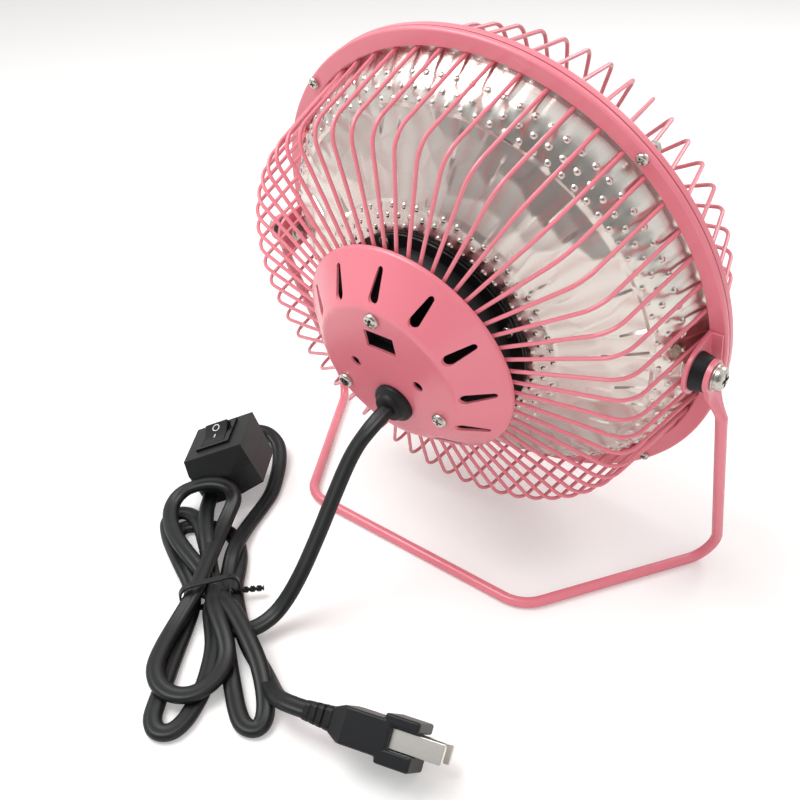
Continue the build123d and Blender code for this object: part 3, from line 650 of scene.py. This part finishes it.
# a twelfth of the bowl is spun in half-degree steps, and eleven copies close the round
bpy.ops.mesh.spin(steps=60, angle=math.tau / 12, center=(0, 0, 0), axis=(0, 0, 1))
bpy.ops.mesh.select_all(action="SELECT")
repeat_round(12)
bpy.ops.mesh.select_all(action="SELECT")
bpy.ops.mesh.remove_doubles(threshold=0.005)
bpy.ops.mesh.normals_make_consistent(inside=False)
bpy.ops.object.mode_set(mode="OBJECT")


def wall(reach):
    """Height and steepness of the bowl's outside at a distance from the axis."""
    for (x, z), (next_x, next_z) in zip(dish_profile, dish_profile[1:]):
        if x <= reach <= next_x:
            fall = (z - next_z) / (next_x - x)
            return z - fall * (reach - x), math.atan(fall)


# boss rows: (distance from the axis, number round, share of a step that the row is turned by)
boss_rows = [
    (44.0, 56, 0.0),
    (47.4, 56, 0.5),
    (50.8, 56, 0.0),
    (82.0, 90, 0.5),
    (85.2, 90, 0.0),
    (88.2, 90, 0.5),
]
# planished flats: three rings of hammer marks, each (distance from the axis, number round) and each mark
# a plane that cuts about 0.35 mm into the round of the bowl
hammer = random.Random(7)
flats = []
for ring, count in ((58.0, 48), (66.4, 52), (75.0, 56)):
    marks = []
    for step in range(count):
        reach = ring + hammer.uniform(-0.9, 0.9)
        angle = (step + hammer.uniform(-0.16, 0.16)) * math.tau / count
        height, slope = wall(reach)
        slope += hammer.uniform(-0.13, 0.13)
        facing = angle + hammer.uniform(-0.22, 0.22)
        across = Matrix.Rotation(facing, 3, "Z") @ Vector((math.sin(slope), 0, math.cos(slope)))
        middle = Vector((reach * math.cos(angle), reach * math.sin(angle), height))
        marks.append((middle - across * hammer.uniform(0.34, 0.4), across, reach))
    flats.append(marks)
pleat_count = 60
outward = [vertex.normal.copy() for vertex in dish.data.vertices]
for vertex, normal in zip(dish.data.vertices, outward):
    x, y, z = vertex.co
    reach = math.hypot(x, y)
    turned = math.atan2(y, x) / math.tau % 1
    lift = 0.0
    if 52.5 < reach < 80.7:
        for marks in flats:
            nearest = round(turned * len(marks))
            for step in (nearest - 1, nearest, nearest + 1):
                middle, across, ring = marks[step % len(marks)]
                lift = min(lift, across.dot(middle - vertex.co) + (reach - ring) ** 2 / 200)
    for ring, count, offset in boss_rows:
        if abs(reach - ring) < 2.5:
            step = (turned * count - offset + 0.5) % 1 - 0.5
            # the sheet round a boss is drawn out with it
            gone = math.hypot(step * math.tau / count * reach, reach - ring)
            lift += 0.3 * math.exp(-(gone**2) * 1.3)
    if 88.5 < reach < 92.2:
        pleat = (turned * pleat_count + 0.5) % 1 - 0.5
        lift -= 0.28 * math.exp(-((pleat * math.tau / pleat_count * reach / 1.1) ** 2))
    vertex.co += normal * lift
pick(dish)
work(dish, "sheet", "SOLIDIFY", thickness=0.5, offset=-1)

# Polished aluminium: a white mirror, a little clouded by the drawing and the hammer, with fine turning
# lines round it
bright_aluminium, aluminium_finish = new_material("planished_bright_aluminium")
aluminium_place = add_node(bright_aluminium, "ShaderNodeTexCoord")
aluminium_cloud = add_node(
    bright_aluminium,
    "ShaderNodeTexNoise",
    {"Vector": aluminium_place.outputs["Object"], "Scale": 60.0, "Detail": 5.0, "Roughness": 0.6},
)
aluminium_tone = add_node(
    bright_aluminium,
    "ShaderNodeMix",
    {"Factor": aluminium_cloud.outputs["Fac"], "A": colour("#DAD4CB"), "B": colour("#F2EEE8")},
    data_type="RGBA",
)
aluminium_gloss = add_node(
    bright_aluminium,
    "ShaderNodeMapRange",
    {
        "Value": aluminium_cloud.outputs["Fac"],
        "From Min": 0.3,
        "From Max": 0.7,
        "To Min": 0.2,
        "To Max": 0.28,
    },
)
aluminium_lines = add_node(
    bright_aluminium,
    "ShaderNodeTexNoise",
    {"Vector": aluminium_place.outputs["Object"], "Scale": 1400.0, "Detail": 2.0},
)
aluminium_relief = add_node(
    bright_aluminium,
    "ShaderNodeBump",
    {"Height": aluminium_lines.outputs["Fac"], "Strength": 0.1, "Distance": 0.00005},
)
set_sockets(
    bright_aluminium,
    aluminium_finish,
    {
        "Base Color": aluminium_tone.outputs["Result"],
        "Roughness": aluminium_gloss.outputs["Result"],
        "Normal": aluminium_relief.outputs["Normal"],
        "Metallic": 1.0,
    },
)
finish_piece(dish, head_frame, bright_aluminium, "head", "polished_aluminium", "reflector_dish")
# the bosses stand 0.6 mm proud: each is a round of twelve sides drawn up in four steps, and is spun to a
# row
boss_sets = []
for ring, count, offset in boss_rows:
    bpy.ops.mesh.primitive_circle_add(vertices=12, radius=1.35, fill_type="NGON", location=(0, 0, 0))
    row = bpy.context.object
    bpy.ops.object.mode_set(mode="EDIT")
    bpy.ops.mesh.select_mode(type="FACE")
    bpy.ops.mesh.select_all(action="SELECT")
    for inset, rise in ((0.22, 0.12), (0.23, 0.24), (0.28, 0.18), (0.3, 0.07)):
        bpy.ops.mesh.inset(thickness=inset, depth=0)
        bpy.ops.transform.translate(value=(0, 0, rise))
    bpy.ops.object.mode_set(mode="OBJECT")
    height, slope = wall(ring)
    turned = Matrix.Rotation(offset * math.tau / count, 4, "Z")
    leaned = Matrix.Rotation(slope, 4, "Y")
    sunk = Matrix.Translation((0, 0, -0.05))
    row.matrix_world = turned @ Matrix.Translation((ring, 0, height)) @ leaned @ sunk
    settle()
    bpy.ops.object.mode_set(mode="EDIT")
    bpy.ops.mesh.select_all(action="SELECT")
    repeat_round(count)
    bpy.ops.object.mode_set(mode="OBJECT")
    boss_sets.append(row)
for row in boss_sets:
    row.select_set(True)
bpy.context.view_layer.objects.active = boss_sets[0]
bpy.ops.object.join()
boss_sets[0].name = "reflector_bosses"
finish_piece(boss_sets[0], head_frame, bright_aluminium, "head", "polished_aluminium")

# Element can: a steel cup pressed with a flange, which stands off the dish and carries the wide plate
# behind it. It is sprayed with a satin black heat-resisting paint.
heat_black, heat_finish = new_material("satin_black_heat_paint")
heat_place = add_node(heat_black, "ShaderNodeTexCoord")
heat_spray = add_node(
    heat_black,
    "ShaderNodeTexNoise",
    {"Vector": heat_place.outputs["Object"], "Scale": 700.0, "Detail": 3.0},
)
heat_tone = add_node(
    heat_black,
    "ShaderNodeMix",
    {"Factor": heat_spray.outputs["Fac"], "A": colour("#0B0B0C"), "B": colour("#141414")},
    data_type="RGBA",
)
heat_relief = add_node(
    heat_black,
    "ShaderNodeBump",
    {"Height": heat_spray.outputs["Fac"], "Strength": 0.4, "Distance": 0.0001},
)
set_sockets(
    heat_black,
    heat_finish,
    {
        "Base Color": heat_tone.outputs["Result"],
        "Normal": heat_relief.outputs["Normal"],
        "Roughness": 0.45,
    },
)
element_can = break_edges("element_can", 0.0003)
finish_piece(element_can, as_built, heat_black, "head", "black_enamel", "element_can")


# Heating element: a fired steatite tube on a mica washer, with a resistance coil wound round it.
# It is the red-hot heart of the heater, and the front guard keeps fingers off it.
def speckled(name, dark, light, grain, roughness, relief, metallic=0.0):
    """A material of two close tones in grains of a real size in metres, which are its relief as well."""
    material, finish = new_material(name)
    place = add_node(material, "ShaderNodeTexCoord")
    grains = add_node(
        material,
        "ShaderNodeTexNoise",
        {"Vector": place.outputs["Object"], "Scale": 1 / grain, "Detail": 4.0},
    )
    tone = add_node(
        material,
        "ShaderNodeMix",
        {"Factor": grains.outputs["Fac"], "A": colour(dark), "B": colour(light)},
        data_type="RGBA",
    )
    bump = add_node(
        material,
        "ShaderNodeBump",
        {"Height": grains.outputs["Fac"], "Strength": 0.4, "Distance": relief},
    )
    set_sockets(
        material,
        finish,
        {
            "Base Color": tone.outputs["Result"],
            "Normal": bump.outputs["Normal"],
            "Roughness": roughness,
            "Metallic": metallic,
            "Specular IOR Level": 0.5 if metallic else 0.34,
        },
    )
    return material


# Steatite: an off-white, dry, close-grained ceramic. Mica board: pressed golden-grey flakes with a soft
# sheen. Resistance wire: iron-chromium-aluminium gone dull grey-brown in use.
steatite = speckled("fired_steatite", "#DDD6C8", "#F1ECE1", 0.0012, 0.55, 0.00008)
mica_board = speckled("pressed_mica_board", "#8C7C60", "#C2B08C", 0.0025, 0.35, 0.00006)
hot_wire = speckled("oxidised_resistance_wire", "#5A504A", "#8B7F77", 0.0008, 0.45, 0.00003, 1.0)
finish_piece(break_edges("ceramic_core", 0.0004), as_built, steatite, "head", "ceramic", "ceramic_core")
finish_piece(break_edges("mica_washer", 0.0002), as_built, mica_board, "head", "mica", "mica_washer")
for slot in cad_nodes["heating_coil"].material_slots:
    slot.material = hot_wire

# Behind the can: a polyamide terminal block with its leads, and a blank moulding behind the spare
# opening. The block is natural nylon, the leads are in woven and varnished silicone sleeves, the blank is
# black nylon.
natural_nylon = speckled("moulded_natural_nylon", "#DCD6C6", "#EBE6D8", 0.0015, 0.42, 0.00004)
silicone_sleeve = speckled("woven_silicone_sleeve", "#CFC9BD", "#E9E4DA", 0.0007, 0.6, 0.00012)
black_nylon = speckled("moulded_black_nylon", "#0E0E0F", "#161617", 0.0006, 0.5, 0.00003)
terminal_block = break_edges("terminal_block", 0.0004)
finish_piece(terminal_block, as_built, natural_nylon, "head", "terminal_plastic", "terminal_block")
cutout_blank = break_edges("cutout_blank", 0.0003)
finish_piece(cutout_blank, as_built, black_nylon, "head", "black_plastic", "cutout_blank")
for slot in cad_nodes["internal_leads"].material_slots:
    slot.material = silicone_sleeve

# Hub cover: a shallow cone pressed from 1 mm steel, pierced with twelve drop-shaped vents before it is
# enamelled. Its flat has the cord's hole, the opening of a switch that this model leaves out, and two
# small vents.
hub_cover = turn(
    "hub_cover_pressed",
    [
        (0, cover_flat, 0),
        (30.0, cover_flat, 4.5),
        (46.0, 50.0, 1.5),
        (46.0, 48.4, 0.3),
        (45.0, 48.4, 0.3),
        (45.0, 49.53, 0.7),
        (29.65, 62.0, 3.5),
        (0, 62.0, 0),
    ],
)
# the drop-shaped punch: two rounds and the hull over them, driven through the cone twelve times
bpy.ops.mesh.primitive_circle_add(vertices=20, radius=2.1, location=(33.6, 0, 40))
punch = bpy.context.object
bpy.ops.object.mode_set(mode="EDIT")
bpy.ops.mesh.primitive_circle_add(vertices=20, radius=1.2, location=(41.0, 0, 40))
bpy.ops.mesh.select_all(action="SELECT")
bpy.ops.mesh.convex_hull()
bpy.ops.mesh.select_all(action="SELECT")
bpy.ops.mesh.dissolve_limited(angle_limit=math.radians(1))
bpy.ops.mesh.select_all(action="SELECT")
bpy.ops.mesh.extrude_region_move(TRANSFORM_OT_translate={"value": (0, 0, 30)})
bpy.ops.mesh.select_all(action="SELECT")
bpy.ops.mesh.normals_make_consistent(inside=False)
repeat_round(12)
# round holes: the cord's, the two small vents and the cover screws'
cord_hole = (1.0, -14.0)
for radius, x, y in ((5.5, *cord_hole), (2.2, 14.5, 0), (2.2, -14.5, 0)):
    bpy.ops.mesh.primitive_cylinder_add(vertices=28, radius=radius, depth=6, location=(x, y, cover_flat))
for angle in cover_screw_angles:
    x = cover_screw_circle * math.cos(math.radians(angle))
    y = cover_screw_circle * math.sin(math.radians(angle))
    bpy.ops.mesh.primitive_cylinder_add(vertices=20, radius=1.6, depth=6, location=(x, y, cover_flat))
bpy.ops.mesh.primitive_cube_add(size=1, location=(0.7, 15.35, cover_flat), scale=(13.3, 8.1, 6))
bpy.ops.object.mode_set(mode="OBJECT")
pick(hub_cover)
work(hub_cover, "pierce", "BOOLEAN", object=punch, operation="DIFFERENCE", solver="EXACT")
bpy.data.objects.remove(punch)
# the enamel rounds the punched edges
soften(hub_cover, 0.22, 2, 50)
finish_piece(hub_cover, head_frame, pink_enamel, "head", "pink_paint", "hub_cover")

# Cord gland: a snap-in bush moulded in black nylon, with a domed shoulder outside and a neck that grips
# the cord. It is pushed through the cover's hole and locks behind it.
cord_gland = turn(
    "cord_gland_bush",
    [
        (0, -6.0, 0),
        (5.4, -6.0, 0.6),
        (5.4, 0.02, 0),
        (8.25, 0.02, 0.5),
        (8.25, 2.2, 1.7),
        (6.0, 3.0, 0.9),
        (5.5, 5.0, 0.9),
        (0, 5.0, 0),
    ],
    64,
)
gland_place = head_frame @ Matrix.Translation((*cord_hole, cover_flat))
finish_piece(cord_gland, gland_place, black_nylon, "head", "black_plastic", "cord_gland")

# Trunnions: two steel lugs riveted to the rear ring and enamelled with it, each with a moulded conical
# spacer. A large pan-head screw pins the stand's eye to each lug, so the head tilts and friction holds
# it.
for node in ("trunnion_lug_right", "trunnion_lug_left"):
    finish_piece(break_edges(node, 0.0004), as_built, pink_enamel, "head", "pink_paint", node)
spacers = break_edges("pivot_spacers", 0.0005, 3)
finish_piece(spacers, as_built, black_nylon, "head", "black_plastic", "pivot_spacers")
pivot = Matrix.Translation((0, -5.85, 106.4))
screw_seat = Matrix.Translation((0, 0, 102.4))
pivot_screws = copy_round(
    pan_head("pivot_screw", 4.4, 2.8, 2.0, 12.2),
    [pivot @ Matrix.Rotation(side * math.pi / 2, 4, "Y") @ screw_seat for side in (1, -1)],
)
finish_piece(pivot_screws, from_millimetres, nickel, "head", "bright_steel", "pivot_screws")

# Stand: one 4.3 mm steel rod bent to a foot and two legs, with its ends flattened and pierced to eyes.
# It is enamelled like the guards, and its underside is ground to a narrow flat where it rests.
stand = break_edges("stand_frame", 0.0005, 3)
finish_piece(stand, as_built, pink_enamel, "stand", "pink_paint", "stand_frame")


# Supply cord: black flat twin PVC flex, two cores side by side, 6.7 mm wide and 3.5 mm thick, folded to a
# hank. The first length runs from the gland through the tie to the switch, and the second from the switch
# to the plug.
foot_y = -0.00585


def lay_cord(name, points):
    """A flat cord along a smooth line of points in millimetres, with y from the spot below the pivot."""
    bpy.ops.curve.primitive_bezier_circle_add(radius=1)
    section = bpy.context.object
    # two round cores and the web between them, as the die leaves them
    right = [(0.8, 1.62), (1.75, 1.75), (2.75, 1.45), (3.3, 0.6)]
    right += [(x, -y) for x, y in reversed(right)]
    left = [(-x, y) for x, y in reversed(right)]
    outline = [(0.0, 1.45), *right, (0.0, -1.45), *left]
    section.data.splines.clear()
    spline = section.data.splines.new("POLY")
    spline.points.add(len(outline) - 1)
    for point, (x, y) in zip(spline.points, outline):
        point.co = (x / 1000, y / 1000, 0, 1)
    spline.use_cyclic_u = True

    bpy.ops.curve.primitive_nurbs_path_add()
    cord = bpy.context.object
    cord.name = name
    cord.data.splines.clear()
    line = cord.data.splines.new("NURBS")
    line.points.add(len(points) - 1)
    for point, (x, y, z) in zip(line.points, points):
        point.co = (x / 1000, y / 1000 + foot_y, z / 1000, 1)
    line.order_u = 3
    line.use_endpoint_u = True
    cord.data.dimensions = "3D"
    cord.data.resolution_u = 6
    cord.data.twist_mode = "Z_UP"
    line = [v.co.copy() for v in bpy.data.meshes.new_from_object(cord).vertices]
    path = [tuple(here) for here, after in zip(line, line[1:]) if (after - here).length > 0.0002]
    cord.data.bevel_mode = "OBJECT"
    cord.data.bevel_object = section
    cord.data.use_fill_caps = True
    pick(cord)
    bpy.ops.object.convert(target="MESH")
    bpy.ops.object.shade_smooth_by_angle(angle=math.radians(50))
    bpy.data.objects.remove(section)
    return cord, path


gland_to_switch, gland_to_switch_path = lay_cord(
    "cord_gland_to_switch",
    [
        # out of the gland, down to the table and into the tie
        (1.0, -50.95, 78.66), (1.0, -58.7, 76.6), (-2.6, -66.3, 67.5),
        (-4.9, -74.5, 52.5), (-7.0, -83.0, 36.0), (-9.6, -93.0, 18.5),
        (-12.0, -102.0, 8.0), (-13.8, -110.5, 5.4), (-17.3, -117.5, 5.4),
        (-25.0, -118.5, 5.6), (-33.0, -113.0, 5.8), (-41.0, -108.3, 5.8),
        # the large upper loop, whose end leans on the switch's nose
        (-50.5, -105.9, 6.5), (-57.5, -104.6, 8.3), (-66.4, -102.7, 9.3),
        (-75.5, -99.7, 9.3), (-85.4, -94.3, 8.6), (-93.0, -87.0, 9.0),
        (-93.8, -80.0, 11.5), (-88.5, -74.6, 14.5), (-82.0, -70.1, 16.0),
        (-75.7, -67.5, 15.0), (-71.5, -69.0, 11.5), (-69.6, -75.4, 8.0),
        (-65.0, -84.1, 6.4), (-56.0, -97.4, 8.6), (-49.4, -107.4, 9.4),
        (-44.5, -115.4, 9.2),
        # the lower left loop
        (-42.2, -122.3, 7.4), (-39.3, -131.5, 5.5), (-34.2, -142.1, 5.5),
        (-29.2, -149.4, 5.5), (-22.6, -153.2, 5.5), (-15.2, -153.4, 5.5),
        (-9.3, -149.4, 5.5), (-7.5, -141.7, 5.5), (-9.0, -134.5, 5.5),
        (-12.6, -128.7, 6.0), (-17.3, -124.9, 7.5), (-24.8, -120.9, 8.8),
        (-32.8, -116.6, 8.8), (-43.5, -108.5, 5.8),
        # the small upper loop
        (-53.9, -100.2, 3.0), (-64.2, -93.0, 3.6), (-71.7, -88.4, 5.2),
        (-79.3, -84.1, 5.2), (-86.9, -82.3, 4.0), (-93.2, -84.2, 2.6),
        (-93.4, -90.4, 1.9), (-85.4, -96.4, 1.9), (-75.6, -101.4, 3.2),
        (-63.6, -107.0, 4.6), (-54.6, -110.3, 3.0),
        # the lowest loop
        (-45.7, -116.7, 1.9), (-37.4, -128.9, 1.9), (-29.9, -140.7, 1.9),
        (-23.3, -150.4, 1.9), (-18.9, -157.5, 1.9), (-14.6, -163.2, 1.9),
        (-9.3, -165.4, 1.9), (-5.2, -162.6, 1.9), (-5.0, -156.8, 1.9),
        (-7.3, -150.1, 1.9), (-10.5, -143.1, 1.9), (-17.1, -133.6, 1.9),
        (-23.4, -126.2, 1.9), (-31.6, -119.8, 1.9), (-39.4, -113.9, 1.9),
        # out of the tie, round the back of the switch and into its far end
        (-42.0, -106.9, 1.9), (-44.0, -100.7, 1.9), (-48.7, -94.8, 2.6),
        (-53.4, -88.2, 4.6), (-58.8, -79.4, 3.2), (-63.5, -69.5, 1.9),
        (-67.0, -58.5, 1.9), (-70.5, -49.0, 2.0), (-76.0, -40.5, 2.4),
        (-82.0, -32.0, 4.0), (-90.0, -24.0, 6.5), (-99.5, -22.5, 9.5),
        (-104.0, -29.5, 12.0), (-100.4, -37.6, 13.0), (-96.3, -43.7, 13.0),
    ],
)
switch_to_plug, switch_to_plug_path = lay_cord(
    "cord_switch_to_plug",
    [
        # out of the switch's near end and into the tie
        (-87.1, -69.6, 6.3), (-83.0, -75.7, 6.2), (-76.2, -82.3, 7.6),
        (-67.7, -89.7, 8.8), (-59.9, -95.5, 7.2), (-53.1, -101.0, 5.8),
        (-44.2, -106.9, 5.6), (-34.9, -112.2, 5.6),
        # the lower right loop
        (-26.3, -117.9, 5.4), (-17.7, -124.8, 4.5), (-10.9, -130.0, 3.0),
        (-2.0, -136.4, 1.9), (6.3, -142.2, 1.9), (12.8, -145.2, 1.9),
        (17.6, -142.9, 1.9), (15.8, -137.5, 2.2), (10.4, -132.1, 3.6),
        (3.9, -127.3, 5.6), (-2.2, -123.7, 7.2), (-9.6, -120.4, 8.9),
        (-18.5, -116.4, 9.2), (-28.1, -112.7, 9.2), (-38.0, -110.0, 6.5),
        (-44.0, -109.5, 3.2),
        # the upper loop that lies beneath the others
        (-53.6, -110.2, 1.9), (-63.5, -105.4, 1.9), (-73.3, -100.9, 1.9),
        (-80.8, -96.8, 1.9), (-84.7, -90.7, 1.9), (-82.6, -86.2, 1.9),
        (-77.8, -83.0, 1.9), (-72.9, -80.0, 1.9), (-66.0, -78.7, 1.9),
        (-58.6, -81.0, 1.9), (-51.7, -86.0, 1.9), (-45.7, -92.8, 1.9),
        (-40.4, -99.7, 1.9),
        # out of the tie and up to the plug's strain relief
        (-33.6, -105.4, 1.9), (-26.6, -110.4, 1.9), (-20.0, -114.7, 1.9),
        (-11.0, -119.3, 1.9), (-1.0, -123.0, 1.9), (6.0, -126.5, 3.4),
        (12.5, -130.3, 6.8), (18.5, -133.6, 10.4), (24.5, -134.3, 12.6),
        (31.2, -132.3, 12.6),
    ],
)

# PVC flex: extruded soft vinyl, near black, with a low sheen, a little dust grey and a faint drawn grain
flex_vinyl, flex_finish = new_material("extruded_pvc_flex")
flex_place = add_node(flex_vinyl, "ShaderNodeTexCoord")
flex_dust = add_node(
    flex_vinyl,
    "ShaderNodeTexNoise",
    {"Vector": flex_place.outputs["Object"], "Scale": 90.0, "Detail": 4.0},
)
flex_tone = add_node(
    flex_vinyl,
    "ShaderNodeMix",
    {"Factor": flex_dust.outputs["Fac"], "A": colour("#111313"), "B": colour("#1B1D1E")},
    data_type="RGBA",
)
flex_grain = add_node(
    flex_vinyl,
    "ShaderNodeTexNoise",
    {"Vector": flex_place.outputs["Object"], "Scale": 1800.0, "Detail": 2.0},
)
flex_relief = add_node(
    flex_vinyl,
    "ShaderNodeBump",
    {"Height": flex_grain.outputs["Fac"], "Strength": 0.12, "Distance": 0.0001},
)
set_sockets(
    flex_vinyl,
    flex_finish,
    {
        "Base Color": flex_tone.outputs["Result"],
        "Normal": flex_relief.outputs["Normal"],
        "Roughness": 0.42,
        "Specular IOR Level": 0.34,
        "IOR": 1.53,
    },
)
for cord in (gland_to_switch, switch_to_plug):
    cord.data.materials.append(flex_vinyl)

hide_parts("cord_hanging", "cord_hank", "cord_to_switch")
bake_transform(gland_to_switch)
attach(switch_to_plug, "stand")
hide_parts("cord_from_switch", "cord_to_plug")

# Tie: a black plastic-covered wire, wound once round the waist of the hank and twisted together at its
# ends. It lies tight over the strands, and the twist sticks out to the right.
tie_place = from_millimetres @ Matrix(
    (
        (0.53, 0, 0.85, -41.0),
        (0.85, 0, -0.53, -117.35),
        (0, 1, 0, 0),
        (0, 0, 0, 1),
    )
)
bpy.ops.mesh.primitive_plane_add(size=1, location=(0, 6.8, 0))
tie = bpy.context.object
tie.name = "tie_wire_wound"
tie.scale = (24, 13.6, 1)
settle()
bpy.ops.object.mode_set(mode="EDIT")
bpy.ops.mesh.select_mode(type="VERT")
bpy.ops.mesh.select_all(action="SELECT")
bpy.ops.mesh.bevel(offset=5.0, segments=6, affect="VERTICES")
bpy.ops.mesh.select_all(action="SELECT")
bpy.ops.mesh.delete(type="ONLY_FACE")
bpy.ops.mesh.select_all(action="SELECT")
bpy.ops.transform.translate(value=(0, 0, -1.3))
bpy.ops.mesh.extrude_region_move(TRANSFORM_OT_translate={"value": (0, 0, 2.6)})
bpy.ops.mesh.select_all(action="SELECT")
bpy.ops.mesh.normals_make_consistent(inside=False)
bpy.ops.object.mode_set(mode="OBJECT")
work(tie, "tape", "SOLIDIFY", thickness=0.9, offset=-1)
work(tie, "edge", "BEVEL", width=0.3, segments=2)
# the twisted ends: a flat strip, wrung two and a half times
bpy.ops.mesh.primitive_cube_add(size=1, location=(0, 0, 0))
ends = bpy.context.object
ends.scale = (1.1, 2.4, 13)
settle()
bpy.ops.object.mode_set(mode="EDIT")
bpy.ops.mesh.select_all(action="SELECT")
bpy.ops.mesh.subdivide(number_cuts=23)
bpy.ops.object.mode_set(mode="OBJECT")
work(ends, "wring", "SIMPLE_DEFORM", deform_method="TWIST", deform_axis="Z", angle=math.radians(900))
ends.matrix_world = Matrix.Translation((14.5, 4.2, 0.4)) @ Matrix.Rotation(math.radians(78), 4, "Y")
settle()
tie.select_set(True)
bpy.context.view_layer.objects.active = tie
bpy.ops.object.join()
finish_piece(tie, tie_place, flex_vinyl, "stand", "black_plastic", "twist_tie")

# In-line switch: two shells moulded in black ABS and screwed together from below, with a rocker switch
# snapped in. The parting line shows as a fine groove, and each nose has a slot for the cord.
moulded_abs = speckled("moulded_black_abs", "#131416", "#1C1D1F", 0.0005, 0.42, 0.00004)
gloss_black = speckled("gloss_black_nylon", "#0C0C0D", "#141416", 0.0008, 0.22, 0.00001)
white_print = speckled("white_pad_print", "#E3E3E0", "#F4F4F2", 0.0004, 0.5, 0.00001)
for node in ("switch_upper_shell", "switch_lower_shell"):
    finish_piece(break_edges(node, 0.0008, 3), as_built, moulded_abs, "stand", "black_plastic", node)
bezel = break_edges("switch_bezel", 0.0003)
finish_piece(bezel, as_built, gloss_black, "stand", "black_gloss_plastic", "switch_bezel")
switch_screws = break_edges("switch_screws", 0.0003)
finish_piece(switch_screws, as_built, nickel, "stand", "bright_steel", "switch_screws")
rocker = break_edges("switch_rocker", 0.0004, 3)
finish_piece(rocker, as_built, gloss_black, "rocker", "black_gloss_plastic", "switch_rocker")
# the off and on marks, printed in white: a ring on the raised end, and a stroke beside the middle
switch_frame = from_millimetres @ Matrix(
    (
        (0.76256, -0.5592, -0.32526, -95.5),
        (0.51436, 0.82903, -0.21939, -60.55),
        (0.39234, 0, 0.91982, 25.9),
        (0, 0, 0, 1),
    )
)
bpy.ops.mesh.primitive_torus_add(
    major_radius=1.6, minor_radius=0.2, major_segments=40, minor_segments=8
)
marks = bpy.context.object
marks.name = "rocker_marks"
marks.scale = (1, 1, 0.25)
settle()
marks.matrix_world = Matrix.Translation((-1.0, 4.11, 2.6)) @ Matrix.Rotation(math.radians(21), 4, "X")
settle()
bpy.ops.mesh.primitive_cylinder_add(vertices=16, radius=0.24, depth=0.3)
stroke = bpy.context.object
bpy.ops.object.mode_set(mode="EDIT")
bpy.ops.mesh.select_mode(type="VERT")
bpy.ops.mesh.select_all(action="DESELECT")
bpy.ops.object.mode_set(mode="OBJECT")
for vertex in stroke.data.vertices:
    vertex.select = vertex.co.y > 0.01
bpy.ops.object.mode_set(mode="EDIT")
bpy.ops.transform.translate(value=(0, 1.9, 0))
bpy.ops.object.mode_set(mode="OBJECT")
stroke.matrix_world = Matrix.Translation((-1.0, -1.6, 1.32)) @ Matrix.Rotation(math.radians(3), 4, "X")
settle()
marks.select_set(True)
bpy.context.view_layer.objects.active = marks
bpy.ops.object.join()
finish_piece(marks, switch_frame, white_print, "rocker", "terminal_plastic")

# Plug: a two-pin plug moulded in black ABS round its folded brass blades, with a ribbed relief over the
# cord's end. The blades are stamped from plated strip and chamfered at the tip.
plated_brass = speckled("nickel_plated_brass", "#EEEAE0", "#F8F6F0", 0.0011, 0.3, 0.00001, 1.0)
plug_body = break_edges("plug_body", 0.0009, 3)
finish_piece(plug_body, as_built, moulded_abs, "stand", "black_plastic", "plug_body")
plug_relief = break_edges("plug_strain_relief", 0.0003)
finish_piece(plug_relief, as_built, black_nylon, "stand", "black_plastic", "plug_strain_relief")
plug_blades = break_edges("plug_blades", 0.0002)
finish_piece(plug_blades, as_built, plated_brass, "stand", "blade_metal", "plug_blades")
